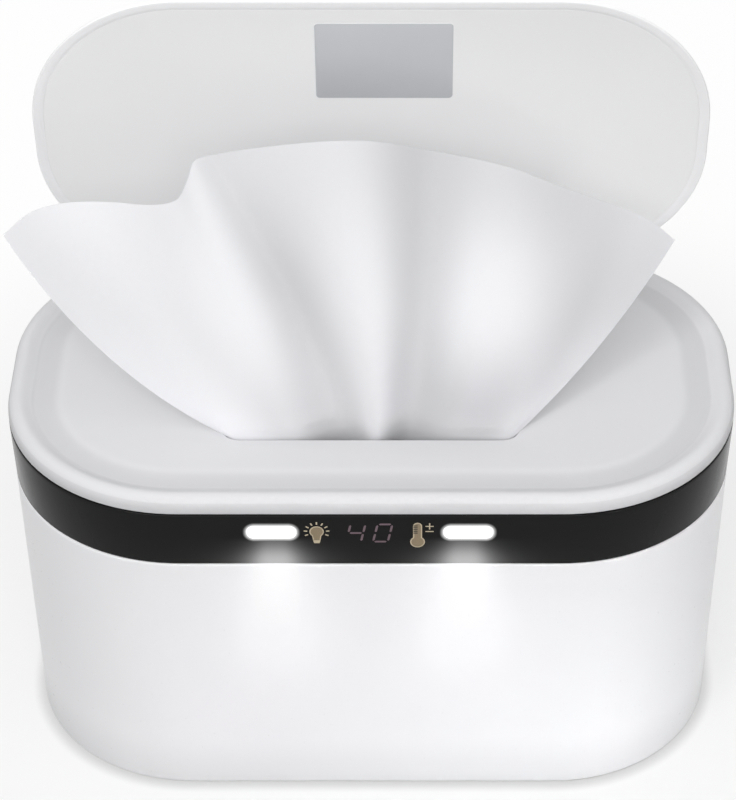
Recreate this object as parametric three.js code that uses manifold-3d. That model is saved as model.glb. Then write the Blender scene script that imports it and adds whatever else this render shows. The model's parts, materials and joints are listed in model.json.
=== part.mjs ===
// Baby wipe warmer with its lid open and a wipe standing in the slot.
// Millimetres, +Z up, the front (display side) faces -Y.
// The origin is on the table, under the middle of the housing.
import * as THREE from "three";
import { mergeVertices } from "three/addons/utils/BufferGeometryUtils.js";
import Module from "manifold-3d";

const wasm = await Module();
wasm.setup();

// Driving sizes of the outside
const rim_width = 220;
const rim_depth = 128.5;
const rim_corner = 54;
const band_top_z = 111.5;
const band_height = 19;
const waist_inset = 0.75;
const waist_corner = 52.6;
const base_inset = 3.2;
const base_corner = 50.3;
const foot_stand = 0.5;
const lid_angle_deg = 80;

// Clearances and the overrun that lets one solid run into the next or right through it
const fit_gap = 0.3;
const pin_gap = 0.3;
const overrun = 1;
const edge_chamfer = 0.4;

// How finely round things are cut
const corner_steps = 8;
const roll_steps = 4;
const dome_steps = 5;
const small_corner_steps = 3;
const pin_sides = 10;
const disc_sides = 16;

// Housing
const housing_wall = 2.4;
const neck_wall = 2;
const base_roll = 1;
const base_lip = 2.4;
const base_lip_height = 2.4;
const base_lip_slope = 4;

// Control band
const band_wall = 1.6;
const band_notch_side = 0.6;

// Wipe tank
const tank_wall = 2;
const tank_floor = 2;
const tank_inset = 9.2;
const tank_draft = 1.4;
const tank_roll = 6;
const tank_floor_z = 24.6;
const flange_thickness = 1.8;

// Deck
const deck_wall = 2.5;
const deck_rim_rise = 6;
const deck_side = 1.8;
const deck_crest_inset = 3.4;
const deck_groove_floor = 3.4;
const deck_groove_depth = 0.5;
const deck_step = 2;
const deck_plateau_inset = 12;
const deck_skirt_wall = 2.2;
const deck_hollow_inset = 3.6;
const deck_hollow_width = 1.6;
const deck_hollow_slope = 3;
const deck_hollow_roof = 2.4;
const deck_rib_thickness = 2.2;
const deck_rib_depth = 6.8;
const deck_rib_gap = 0.4;
const slot_width = 88;
const slot_depth = 22;
const slot_corner = 5;
const slot_from_front = 30.45;
const seal_width = 2.8;
const seal_inset = 7.8;

// Lid
const lid_margin = 7.3;
const lid_rear_margin = 14.3;
const lid_wall = 2.2;
const lid_side = 0.8;
const lid_inner_side = 1.2;
const lid_slope_inset = 16;
const lid_slope_rise = 6.6;
const lid_crown_inset = 32;
const lid_crown_rise = 0.6;
const lid_crown_tip = 0.4;
const liner_sunk = 0.4;
const liner_thickness = 1.4;
const liner_bevel = 1.5;
const label_width = 41;
const label_height = 29;
const label_thickness = 0.3;
const label_proud = 0.15;
const label_corner = 1.2;
const label_x = 4;
const label_from_front = 22.9;

// Hinges of the lid and of the deck
const hinge_from_corner = 10;
const knuckle_radius = 2.6;
const knuckle_width = 12;
const ear_width = 3;
const pin_radius = 1.2;
const washer_thickness = 0.9;
const washer_radius = 2.4;
const lid_axis_back = 3.3;
const lid_axis_rise = 2.8;
const deck_axis_back = 2.95;
const deck_axis_rise = 0.6;
const deck_knuckle_root = 2.2;
const ear_root = 4.2;

// Front electronics behind the band
const window_width = 92;
const window_low = 4.3;
const window_high = 15.1;
const display_board_width = 104;
const display_board_margin = 1.5;
const board_thickness = 1.6;
const light_x = 28.7;
const light_above_band = 11.9;
const light_width = 14.8;
const light_height = 4.9;
const light_corner = 2.2;
const light_proud = 0.1;
const led_width = 12;
const led_height = 3.4;
const led_thickness = 0.9;
const digits_width = 17;
const digits_height = 7.1;
const digits_drop = 0.65;
const digits_x = -0.5;
const touch_radius = 3.4;
const touch_light_x = -15.9;
const touch_heat_x = 14.6;
const front_screw_margin = 3;
const small_screw_radius = 0.9;
const small_head_radius = 1.8;
const small_head_height = 1;
const small_screw_length = 3.2;

// Heater stack under the tank
const heater_inset = 22;
const spreader_thickness = 1.5;
const mat_thickness = 1.2;
const pad_thickness = 5;
const pad_short = 34;
const fuse_radius = 1.9;
const fuse_length = 10;
const thermistor_radius = 1.3;
const thermistor_length = 5;
const sensor_spacing = 9;

// Base plate, feet and screws
const plate_thickness = 2.4;
const foot_radius = 6.5;
const foot_pocket = 1;
const foot_inset = 17;
const foot_spread_share = 0.3;
const screw_inset = 13;
const screw_cup_radius = 5;
const screw_cup_rise = 2.6;
const screw_head_radius = 3.1;
const screw_head_height = 1.9;
const screw_head_sunk = 3;
const screw_radius = 1.5;
const screw_length = 10.2;
const post_radius = 4;
const post_top_z = 17;
const rib_thickness = 2.4;

// Main board, relay and power inlet
const board_width = 70;
const board_depth = 46;
const board_x = -12;
const board_y = 8;
const board_post_radius = 2.8;
const board_post_rise = 3.6;
const board_post_margin = 4;
const relay_width = 15;
const relay_depth = 10;
const relay_height = 4.6;
const relay_x = -32;
const relay_y = 14;
const inlet_from_side = 48;
const inlet_z = 18;
const inlet_radius = 4.8;
const inlet_length = 13;
const inlet_bore = 3.3;
const inlet_bore_depth = 9;
const inlet_pin_radius = 1;
const inlet_pin_length = 2.6;
const inlet_lip_radius = 6.2;
const inlet_lip_thickness = 1.2;
const lead_radius = 1.1;
const lead_sides = 8;
const lead_steps = 14;
const ribbon_width = 9;
const ribbon_thickness = 0.8;

// Wipe
const wipe_thickness = 0.9;
const wipe_reach = 98;
const wipe_rise = 77;
const wipe_lean = 42;
const wipe_slot_reach = 42.5;
const wipe_fold_depth = 13;
const wipe_tail = 12;
const wipe_tail_share = 0.82;
const wipe_side_sag = 8;
const wipe_front_belly = 6;
const wipe_across_steps = 44;
const wipe_up_steps = 10;
const wipe_tail_steps = 2;

// Heights and places that follow from the sizes above
const rim = { width: rim_width, depth: rim_depth, corner: rim_corner };
const waist = shrunk(rim, waist_inset, waist_corner);
const base = shrunk(rim, base_inset, base_corner);
const band_bottom_z = band_top_z - band_height;
const flange_top_z = band_top_z - fit_gap;
const neck_top_z = flange_top_z - flange_thickness - fit_gap;
const neck_inset = band_wall + fit_gap;
const deck_edge_z = band_top_z + fit_gap;
const deck_top_z = deck_edge_z + deck_rim_rise;
const plateau_z = deck_top_z - deck_step;
const groove_z = plateau_z - deck_groove_depth;
const deck_under_z = plateau_z - deck_wall;
const rib_inset = tank_inset + tank_wall + deck_rib_gap;
const slot_front_y = slot_from_front - rim_depth / 2;
const slot_middle_y = slot_front_y + slot_depth / 2;
const lid_front_y = lid_margin - rim_depth / 2;
const lid_rear_y = rim_depth / 2 - lid_rear_margin;
const lid_middle_y = (lid_front_y + lid_rear_y) / 2;
const lid = {
  width: rim_width - 2 * lid_margin, depth: lid_rear_y - lid_front_y, corner: rim_corner - lid_margin,
};
const lid_edge_z = plateau_z + fit_gap;
const liner_z = lid_edge_z + liner_sunk;
const label_y = lid_front_y + label_from_front;
const deck_groove_inset = lid_margin - fit_gap;
const hinge_spacing = rim_width - 2 * rim_corner - 2 * hinge_from_corner;
const lid_axis_y = lid_rear_y + lid_axis_back;
const lid_axis_z = plateau_z + lid_axis_rise;
const deck_axis_y = rim_depth / 2 + deck_axis_back;
const deck_axis_z = deck_edge_z + deck_axis_rise;
const waist_y = waist.depth / 2;
const board_front_y = -(side_y(shrunk(waist, neck_inset + neck_wall), display_board_width / 2) - fit_gap);
const front_screw_x = display_board_width / 2 - front_screw_margin;
const light_z = band_bottom_z + light_above_band;
const inlet_x = rim_width / 2 - inlet_from_side;
const plate_top_z = foot_stand + plate_thickness;
const spreader_z = tank_floor_z - fit_gap - spreader_thickness;
const mat_z = spreader_z - fit_gap - mat_thickness;
const pad_z = mat_z - fit_gap - pad_thickness;

// Finishes
const white = finish("white_plastic", 0xeff0f2, 0.35, 0);
const deck_white = finish("deck_plastic", 0xe4e6ea, 0.4, 0);
const lid_white = finish("lid_plastic", 0xe6e7ea, 0.4, 0);
const smoked = finish("black_band", 0x1d1b1c, 0.18, 0);
const glow = finish("light_lens", 0xffffff, 0.3, 0);
const tank_grey = finish("tank_plastic", 0xd9dcdf, 0.5, 0);
const soft_rubber = finish("rubber", 0x2f3032, 0.85, 0);
const silicone = finish("silicone", 0xd8d8d4, 0.7, 0);
const steel = finish("steel", 0xb4b7ba, 0.3, 1);
const alloy = finish("aluminium", 0xc9ccd0, 0.35, 1);
const board_green = finish("circuit_board", 0x1f5a3a, 0.6, 0);
const dark_parts = finish("dark_parts", 0x222326, 0.5, 0);
const heater_orange = finish("heater", 0xb4572c, 0.7, 0);
const foam = finish("foam", 0xb9bcc0, 0.95, 0);
const label_grey = finish("label", 0xb8bcc1, 0.4, 0);
const cloth = finish("wipe_cloth", 0xf6f6f8, 0.9, 0);

function finish(name, color, roughness, metalness) {
  return new THREE.MeshStandardMaterial({ name, color, roughness, metalness });
}

// A rounded rectangle that lies inside another one
function shrunk(outline, inset, corner = outline.corner - inset) {
  return { width: outline.width - 2 * inset, depth: outline.depth - 2 * inset, corner };
}

// How far an outline's front or rear reaches at a place along X
function side_y(outline, x) {
  const past_flat = Math.max(0, x - (outline.width / 2 - outline.corner));
  return outline.depth / 2 - outline.corner + Math.sqrt(outline.corner ** 2 - past_flat ** 2);
}

// The outline as a level ring of points, drawn in by an inset
function ring(outline, inset, z, middle_y = 0) {
  const drawn = shrunk(outline, inset);
  const points = [];
  const steps = outline.steps ?? corner_steps;
  for (let corner = 0; corner < 4; corner += 1) {
    const side_x = corner === 0 || corner === 3 ? 1 : -1;
    const side_y = corner < 2 ? 1 : -1;
    for (let step = 0; step <= steps; step += 1) {
      const angle = ((corner + step / steps) * Math.PI) / 2;
      const x = side_x * (drawn.width / 2 - drawn.corner) + drawn.corner * Math.cos(angle);
      const y = side_y * (drawn.depth / 2 - drawn.corner) + drawn.corner * Math.sin(angle);
      points.push(new THREE.Vector3(x, middle_y + y, z));
    }
  }
  return points;
}

// A closed skin over rings. With two tips it is capped at both ends, without them it closes on itself.
function loft(rings, first_tip = null, last_tip = null) {
  const count = rings[0].length;
  const points = rings.flat();
  const index = [];
  const open = first_tip !== null;
  const bands = open ? rings.length - 1 : rings.length;
  for (let row = 0; row < bands; row += 1) {
    const low = row * count;
    const high = ((row + 1) % rings.length) * count;
    for (let at = 0; at < count; at += 1) {
      const next = (at + 1) % count;
      index.push(low + at, low + next, high + next, low + at, high + next, high + at);
    }
  }
  if (open) {
    const last_row = (rings.length - 1) * count;
    points.push(first_tip, last_tip);
    for (let at = 0; at < count; at += 1) {
      const next = (at + 1) % count;
      index.push(points.length - 2, next, at, points.length - 1, last_row + at, last_row + next);
    }
  }
  return outward(points, index);
}

// Makes the geometry, with its faces turned outwards
function outward(points, index) {
  let volume = 0;
  for (let at = 0; at < index.length; at += 3) {
    const [a, b, c] = [points[index[at]], points[index[at + 1]], points[index[at + 2]]];
    volume += a.dot(b.clone().cross(c));
  }
  const turned = volume < 0 ? index.slice().reverse() : index;
  const geometry = new THREE.BufferGeometry().setFromPoints(points);
  geometry.setIndex(turned);
  return geometry;
}

// Points [inset, z] of a quarter ellipse. It leaves the first point upright or level.
function roll(from, to, upright_first) {
  const points = [];
  for (let step = 1; step <= roll_steps; step += 1) {
    const angle = ((step / roll_steps) * Math.PI) / 2;
    const early = 1 - Math.cos(angle);
    const late = Math.sin(angle);
    const [across, up] = upright_first ? [early, late] : [late, early];
    points.push([from[0] + (to[0] - from[0]) * across, from[1] + (to[1] - from[1]) * up]);
  }
  return points;
}

// Points [inset, z] of a low dome: steepest where it leaves the first point, level at the last one
function dome(from, to) {
  const points = [];
  for (let step = 1; step <= dome_steps; step += 1) {
    const share = step / dome_steps;
    const rise_share = share * (2 - share);
    points.push([from[0] + (to[0] - from[0]) * share, from[1] + (to[1] - from[1]) * rise_share]);
  }
  return points;
}

function rings_of(outline, profile, middle_y = 0) {
  return profile.map(([inset, z]) => ring(outline, inset, z, middle_y));
}

function tip(z, middle_y = 0) {
  return new THREE.Vector3(0, middle_y, z);
}

// A flat plate of a rounded outline
function plate(outline, low, high, middle_y = 0) {
  return loft([ring(outline, 0, low, middle_y), ring(outline, 0, high, middle_y)],
    tip(low, middle_y), tip(high, middle_y));
}

function block([x_low, x_high], [y_low, y_high], [z_low, z_high]) {
  const box = new THREE.BoxGeometry(x_high - x_low, y_high - y_low, z_high - z_low);
  return box.translate((x_low + x_high) / 2, (y_low + y_high) / 2, (z_low + z_high) / 2);
}

// A round bar along X, from one x to another
function bar_x(radius, [x_low, x_high], y, z, sides = pin_sides) {
  const bar = new THREE.CylinderGeometry(radius, radius, x_high - x_low, sides);
  return bar.rotateZ(Math.PI / 2).translate((x_low + x_high) / 2, y, z);
}

// A round bar along Y
function bar_y(radius, x, [y_low, y_high], z, sides = disc_sides) {
  const bar = new THREE.CylinderGeometry(radius, radius, y_high - y_low, sides);
  return bar.translate(x, (y_low + y_high) / 2, z);
}

// A round bar along Z
function bar_z(radius, x, y, [z_low, z_high], sides = disc_sides) {
  const bar = new THREE.CylinderGeometry(radius, radius, z_high - z_low, sides);
  return bar.rotateX(Math.PI / 2).translate(x, y, (z_low + z_high) / 2);
}

// A rounded block seen from the front, from one y to another
function pill_y(width, height, corner, x, z, [y_low, y_high]) {
  const outline = { width, depth: height, corner, steps: small_corner_steps };
  const pill = plate(outline, y_low, y_high);
  return pill.applyMatrix4(new THREE.Matrix4().makeBasis(
    new THREE.Vector3(1, 0, 0), new THREE.Vector3(0, 0, -1), new THREE.Vector3(0, 1, 0),
  )).translate(x, 0, z);
}

function as_solid(geometry) {
  const bare = geometry.clone();
  bare.deleteAttribute("normal");
  bare.deleteAttribute("uv");
  const merged = mergeVertices(bare);
  return new wasm.Manifold(new wasm.Mesh({
    numProp: 3,
    vertProperties: new Float32Array(merged.attributes.position.array),
    triVerts: new Uint32Array(merged.index.array),
  }));
}

function as_geometry(solid) {
  const mesh = solid.getMesh();
  const geometry = new THREE.BufferGeometry();
  geometry.setAttribute("position", new THREE.BufferAttribute(new Float32Array(mesh.vertProperties), 3));
  geometry.setIndex(new THREE.BufferAttribute(new Uint32Array(mesh.triVerts), 1));
  return geometry;
}

function joined(...geometries) {
  return as_geometry(geometries.map(as_solid).reduce((whole, piece) => whole.add(piece)));
}

function cut(geometry, ...tools) {
  return as_geometry(tools.map(as_solid).reduce((whole, tool) => whole.subtract(tool), as_solid(geometry)));
}

// A screw that points up, with its head below: the profile turns about Z
function screw(head_radius, head_height, radius, length) {
  const profile = [
    new THREE.Vector2(0, 0),
    new THREE.Vector2(head_radius, 0),
    new THREE.Vector2(head_radius, head_height),
    new THREE.Vector2(radius, head_height),
    new THREE.Vector2(radius, head_height + length),
    new THREE.Vector2(0, head_height + length),
  ];
  return new THREE.LatheGeometry(profile, pin_sides).rotateX(Math.PI / 2);
}

const warmer = new THREE.Group();
warmer.name = "baby_wipe_warmer";

function place(parent, name, geometry, material) {
  const mesh = new THREE.Mesh(geometry, material);
  mesh.name = name;
  parent.add(mesh);
  return mesh;
}

const sides = [["left", -1], ["right", 1]];
const ends = [["front", -1], ["rear", 1]];

// Spans along X of one hinge: the knuckle in the middle and an ear on each side of it
function hinge_spans(side) {
  const middle = (side * hinge_spacing) / 2;
  const half = knuckle_width / 2;
  const inner = middle - half - fit_gap - ear_width;
  const outer = middle + half + fit_gap;
  return {
    knuckle: [middle - half, middle + half],
    ears: [[inner, inner + ear_width], [outer, outer + ear_width]],
    pin: [inner, outer + ear_width],
    all: [inner - band_notch_side, outer + ear_width + band_notch_side],
  };
}

// Outer housing: a tapered shell with a rolled lower edge, and a thinner neck behind the band
function outer_housing() {
  const edge_low = [base_roll, foot_stand];
  const lower_edge = [edge_low, ...roll(edge_low, [0, foot_stand + base_roll], false)];
  const lip_inset = base_roll + base_lip;
  const lip_top = foot_stand + base_lip_height;
  let shell = loft([
    ...rings_of(base, lower_edge),
    ring(waist, 0, band_bottom_z - fit_gap),
    ring(waist, neck_inset, band_bottom_z - fit_gap),
    ring(waist, neck_inset, neck_top_z),
    ring(waist, neck_inset + neck_wall, neck_top_z),
    ring(waist, neck_inset + neck_wall, band_bottom_z - fit_gap - housing_wall),
    ring(waist, housing_wall, band_bottom_z - fit_gap - 2 * housing_wall),
    ring(base, housing_wall, lip_top + base_lip_slope),
    ring(base, lip_inset, lip_top),
    ring(base, lip_inset, foot_stand),
  ]);
  const holes = [];
  for (const [x, y] of screw_places()) {
    const post_low = plate_top_z + screw_cup_rise + fit_gap;
    const post = bar_z(post_radius, x, y, [post_low, post_top_z]);
    const wall_x = Math.sign(x) * (base.width / 2 - housing_wall / 2);
    const rib = block([Math.min(x, wall_x), Math.max(x, wall_x)],
      [y - rib_thickness / 2, y + rib_thickness / 2], [post_low, post_top_z]);
    const trimmed = as_geometry(as_solid(rib).intersect(as_solid(
      loft([ring(base, housing_wall / 2, foot_stand), ring(waist, housing_wall / 2, band_bottom_z)],
        tip(foot_stand), tip(band_bottom_z)))));
    shell = joined(shell, post, trimmed);
    holes.push(bar_z(screw_radius + pin_gap, x, y,
      [post_low - overrun, post_top_z - housing_wall], pin_sides));
  }
  for (const [, side] of sides) {
    for (const span of hinge_spans(side).ears) {
      shell = joined(shell, housing_ear(span));
    }
    holes.push(bar_x(pin_radius + pin_gap, grown(hinge_spans(side).pin, overrun), deck_axis_y, deck_axis_z));
    const boss_x = side * front_screw_x;
    holes.push(bar_y(small_screw_radius + pin_gap, boss_x,
      [board_front_y - small_screw_length, board_front_y + overrun], light_z, pin_sides));
  }
  holes.push(block([-window_width / 2, window_width / 2],
    [-rim_depth / 2, board_front_y], [band_bottom_z + window_low, band_bottom_z + window_high]));
  holes.push(bar_y(inlet_radius + fit_gap, inlet_x, [waist_y - tank_inset, rim_depth / 2], inlet_z));
  return cut(shell, ...holes);
}

function grown([low, high], amount) {
  return [low - amount, high + amount];
}

// One ear of the deck hinge: it leaves the neck through the notch in the band
function housing_ear(span) {
  const neck_y = waist_y - neck_inset;
  const root_top = neck_top_z - fit_gap;
  const slant = knuckle_radius * Math.SQRT1_2;
  const outline = new THREE.Shape([
    new THREE.Vector2(neck_y - neck_wall / 2, root_top - ear_root),
    new THREE.Vector2(deck_axis_y, deck_axis_z - knuckle_radius),
    new THREE.Vector2(deck_axis_y, deck_axis_z),
    new THREE.Vector2(deck_axis_y - slant, deck_axis_z - slant),
    new THREE.Vector2(neck_y + fit_gap, root_top),
    new THREE.Vector2(neck_y - neck_wall / 2, root_top),
  ]);
  return joined(side_profile(outline, span),
    bar_x(knuckle_radius, span, deck_axis_y, deck_axis_z, disc_sides));
}

// A shape drawn in Y and Z, made solid along X
function side_profile(outline, [x_low, x_high]) {
  const solid = new THREE.ExtrudeGeometry(outline, { depth: x_high - x_low, bevelEnabled: false });
  return solid.applyMatrix4(new THREE.Matrix4().makeBasis(
    new THREE.Vector3(0, 1, 0), new THREE.Vector3(0, 0, 1), new THREE.Vector3(1, 0, 0),
  )).translate(x_low, 0, 0);
}

// Places of the four base screws: on the diagonals of the rounded corners
function screw_places() {
  return corner_places(screw_inset, Math.SQRT1_2);
}

function corner_places(inset, diagonal_share) {
  const radius = base.corner - inset;
  const x = base.width / 2 - base.corner + radius * diagonal_share;
  const y = base.depth / 2 - base.corner + radius * Math.sqrt(1 - diagonal_share * diagonal_share);
  return [[-x, -y], [x, -y], [-x, y], [x, y]];
}

// Control band: a glossy ring with two light windows at the front and two hinge notches at the rear
function control_band() {
  const upper = [[edge_chamfer, band_top_z]];
  const ring_body = loft([
    ring(waist, edge_chamfer, band_bottom_z),
    ring(waist, 0, band_bottom_z + edge_chamfer),
    ring(rim, 0, band_top_z - edge_chamfer),
    ...rings_of(rim, upper),
    ring(waist, band_wall, band_top_z),
    ring(waist, band_wall, band_bottom_z),
  ]);
  const tools = [];
  for (const [, side] of sides) {
    tools.push(pill_y(light_width + 2 * fit_gap, light_height + 2 * fit_gap, light_corner + fit_gap,
      side * light_x, light_z, [-rim_depth / 2 - overrun, board_front_y]));
    tools.push(block(hinge_spans(side).all, [waist_y - neck_inset - neck_wall, rim_depth / 2 + overrun],
      [neck_top_z - fit_gap - ear_root - fit_gap, band_top_z + overrun]));
  }
  return cut(ring_body, ...tools);
}

// Wipe tank: a tapered tub that hangs by its flange on the housing's neck
function wipe_tank() {
  const foot_inset_outer = tank_inset + tank_draft;
  const inner = tank_inset + tank_wall;
  const floor_top = tank_floor_z + tank_floor;
  const flange_low = flange_top_z - flange_thickness;
  const outer_foot = roll([foot_inset_outer + tank_roll, tank_floor_z],
    [foot_inset_outer, tank_floor_z + tank_roll], false);
  const inner_roll = tank_roll - tank_wall;
  const inner_foot = roll([inner + tank_draft, floor_top + inner_roll],
    [inner + tank_draft + inner_roll, floor_top], true);
  return loft(rings_of(waist, [
    [foot_inset_outer + tank_roll, tank_floor_z],
    ...outer_foot,
    [tank_inset, flange_low],
    [neck_inset, flange_low],
    [neck_inset, flange_top_z],
    [inner, flange_top_z],
    [inner + tank_draft, floor_top + inner_roll],
    ...inner_foot,
  ]), tip(tank_floor_z), tip(floor_top));
}

// Deck: a soft rolled rim, a groove for the lid's edge and a flat middle with the dispensing slot.
// Below it a skirt, a hollow under the rim and a rib that drops into the tank's mouth.
function deck_cover() {
  const shoulder = deck_edge_z + deck_side;
  const hollow_z = deck_top_z - deck_hollow_roof;
  const outer_roll = roll([0, shoulder], [deck_crest_inset, deck_top_z], true);
  const inner_roll = roll([deck_crest_inset, deck_top_z], [deck_groove_inset, groove_z], false);
  const flat_z = deck_under_z;
  const rib_low = deck_edge_z - deck_rib_depth;
  const top_side = rings_of(rim, [
    [deck_plateau_inset, plateau_z],
    [deck_groove_inset + deck_groove_floor, groove_z],
    ...inner_roll.reverse(),
    [deck_crest_inset, deck_top_z],
    ...outer_roll.slice(0, -1).reverse(),
    [0, shoulder],
    [0, deck_edge_z + edge_chamfer],
    [edge_chamfer, deck_edge_z],
    [deck_skirt_wall, deck_edge_z],
    [deck_skirt_wall, hollow_z - deck_hollow_width],
    [deck_hollow_inset, hollow_z],
    [deck_hollow_inset + deck_hollow_width, hollow_z],
    [deck_hollow_inset + deck_hollow_width + deck_hollow_slope, flat_z],
  ]);
  const under_side = rings_of(waist, [
    [rib_inset, flat_z],
    [rib_inset, rib_low],
    [rib_inset + deck_rib_thickness, rib_low],
    [rib_inset + deck_rib_thickness, flat_z],
  ]);
  let deck = loft([...top_side, ...under_side], tip(plateau_z), tip(flat_z));
  const slot = {
    width: slot_width, depth: slot_depth, corner: slot_corner, steps: small_corner_steps,
  };
  const holes = [plate(slot, deck_under_z - overrun, deck_top_z, slot_middle_y)];
  for (const [, side] of sides) {
    const spans = hinge_spans(side);
    const rear_y = rim_depth / 2;
    deck = joined(deck,
      bar_x(knuckle_radius, spans.knuckle, deck_axis_y, deck_axis_z, disc_sides),
      block(spans.knuckle, [rear_y - deck_skirt_wall / 2, deck_axis_y],
        [deck_edge_z + fit_gap, deck_axis_z + deck_knuckle_root]));
    for (const span of spans.ears) {
      deck = joined(deck,
        bar_x(knuckle_radius, span, lid_axis_y, lid_axis_z, disc_sides),
        block(span, [lid_axis_y - knuckle_radius, lid_axis_y + knuckle_radius],
          [groove_z - deck_groove_depth, lid_axis_z]));
    }
    holes.push(bar_x(pin_radius + pin_gap, grown(spans.pin, overrun), deck_axis_y, deck_axis_z));
    holes.push(bar_x(pin_radius + pin_gap, grown(spans.pin, overrun), lid_axis_y, lid_axis_z));
  }
  return cut(deck, ...holes);
}

// Lid outer skin, drawn closed: a thin upright edge, and a low dome that falls away from it at once
function lid_shell() {
  const side_top = lid_edge_z + lid_side;
  const slope_top = side_top + lid_slope_rise;
  const crown = slope_top + lid_crown_rise;
  const inner_side_top = lid_edge_z + lid_inner_side;
  const outside = [
    [edge_chamfer, lid_edge_z],
    [0, lid_edge_z + edge_chamfer],
    [0, side_top],
    ...dome([0, side_top], [lid_slope_inset, slope_top]),
    [lid_crown_inset, crown],
  ];
  const inside = [
    [lid_wall, lid_edge_z],
    [lid_wall, inner_side_top],
    ...dome([lid_wall, inner_side_top], [lid_slope_inset, slope_top - lid_wall]),
    [lid_crown_inset, crown - lid_wall],
  ];
  let shell = loft(rings_of(lid, [...inside.reverse(), ...outside], lid_middle_y),
    tip(crown + lid_crown_tip - lid_wall, lid_middle_y), tip(crown + lid_crown_tip, lid_middle_y));
  const holes = [];
  for (const [, side] of sides) {
    const spans = hinge_spans(side);
    const knuckle = [spans.knuckle[0] + washer_thickness + fit_gap, spans.knuckle[1]];
    shell = joined(shell,
      bar_x(knuckle_radius, knuckle, lid_axis_y, lid_axis_z, disc_sides),
      block(knuckle, [lid_rear_y - lid_wall, lid_axis_y],
        [lid_axis_z - knuckle_radius + fit_gap, lid_axis_z]));
    holes.push(bar_x(pin_radius + pin_gap, grown(spans.pin, overrun), lid_axis_y, lid_axis_z));
  }
  return cut(shell, ...holes);
}

// Lid inner face: a flat panel with a shallow pocket for the label
function lid_liner() {
  const edge = lid_wall + fit_gap;
  const panel_top = liner_z + liner_thickness;
  const panel = loft(rings_of(lid, [
    [edge + edge_chamfer, liner_z],
    [edge, liner_z + edge_chamfer],
    [edge + liner_bevel, panel_top],
  ], lid_middle_y), tip(liner_z, lid_middle_y), tip(panel_top, lid_middle_y));
  const pocket = plate({
    width: label_width + 2 * fit_gap,
    depth: label_height + 2 * fit_gap,
    corner: label_corner + fit_gap,
    steps: small_corner_steps,
  }, liner_z - overrun, liner_z - label_proud + label_thickness + fit_gap);
  return cut(panel, pocket.translate(label_x, label_y, 0));
}

function label_plate() {
  const low = liner_z - label_proud;
  const outline = {
    width: label_width, depth: label_height, corner: label_corner, steps: small_corner_steps,
  };
  return plate(outline, low, low + label_thickness)
    .translate(label_x, label_y, 0);
}

// Base plate: closes the housing from below, with screw cups, board posts and pockets for the feet
function base_plate() {
  const outline = shrunk(base, base_roll + base_lip + fit_gap);
  let body = plate(outline, foot_stand, plate_top_z);
  const holes = [];
  for (const [x, y] of screw_places()) {
    const cup_top = plate_top_z + screw_cup_rise;
    body = joined(body, bar_z(screw_cup_radius, x, y, [plate_top_z - overrun, cup_top]));
    holes.push(bar_z(screw_head_radius + fit_gap, x, y,
      [foot_stand - overrun, foot_stand + screw_head_sunk]));
    holes.push(bar_z(screw_radius + pin_gap, x, y, [foot_stand, cup_top + overrun], pin_sides));
  }
  for (const [x, y] of foot_places()) {
    holes.push(bar_z(foot_radius + fit_gap, x, y, [foot_stand - overrun, foot_stand + foot_pocket]));
  }
  for (const [x, y] of board_post_places()) {
    const post_top = plate_top_z + board_post_rise;
    body = joined(body, bar_z(board_post_radius, x, y, [plate_top_z - overrun, post_top]));
    holes.push(bar_z(small_screw_radius + pin_gap, x, y, [plate_top_z, post_top + overrun], pin_sides));
  }
  return cut(body, ...holes);
}

function foot_places() {
  return corner_places(foot_inset, foot_spread_share);
}

// The main board stands on two posts and its two screws hold it there
function board_post_places() {
  const reach = board_width / 2 - board_post_margin;
  return [[board_x - reach, board_y], [board_x + reach, board_y]];
}

function main_board() {
  const low = plate_top_z + board_post_rise + fit_gap;
  const flat = block([board_x - board_width / 2, board_x + board_width / 2],
    [board_y - board_depth / 2, board_y + board_depth / 2], [low, low + board_thickness]);
  const holes = board_post_places().map(([x, y]) =>
    bar_z(small_screw_radius + pin_gap, x, y, [low - overrun, low + board_thickness + overrun], pin_sides));
  return cut(flat, ...holes);
}

function board_top_z() {
  return plate_top_z + board_post_rise + fit_gap + board_thickness;
}

// Power inlet: a round socket with a short centre pin. Its profile turns about Y, its mouth to the rear.
function dc_inlet() {
  const mouth = inlet_length + inlet_lip_thickness;
  const floor = mouth - inlet_bore_depth;
  const profile = [
    [0, 0],
    [inlet_radius, 0],
    [inlet_radius, inlet_length],
    [inlet_lip_radius, inlet_length],
    [inlet_lip_radius, mouth],
    [inlet_bore, mouth],
    [inlet_bore, floor],
    [inlet_pin_radius, floor],
    [inlet_pin_radius, floor + inlet_pin_length],
    [0, floor + inlet_pin_length],
  ].map(([radius, along]) => new THREE.Vector2(radius, along));
  return new THREE.LatheGeometry(profile, disc_sides);
}

// The outer face of the housing at a height, at the rear
function rear_face_y(z) {
  const share = (z - foot_stand - base_roll) / (band_bottom_z - foot_stand - base_roll);
  return base.depth / 2 + (waist.depth / 2 - base.depth / 2) * share;
}

// Smooth curve through hand-chosen points
function curve(points) {
  return new THREE.CatmullRomCurve3(points, false, "centripetal");
}

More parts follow.
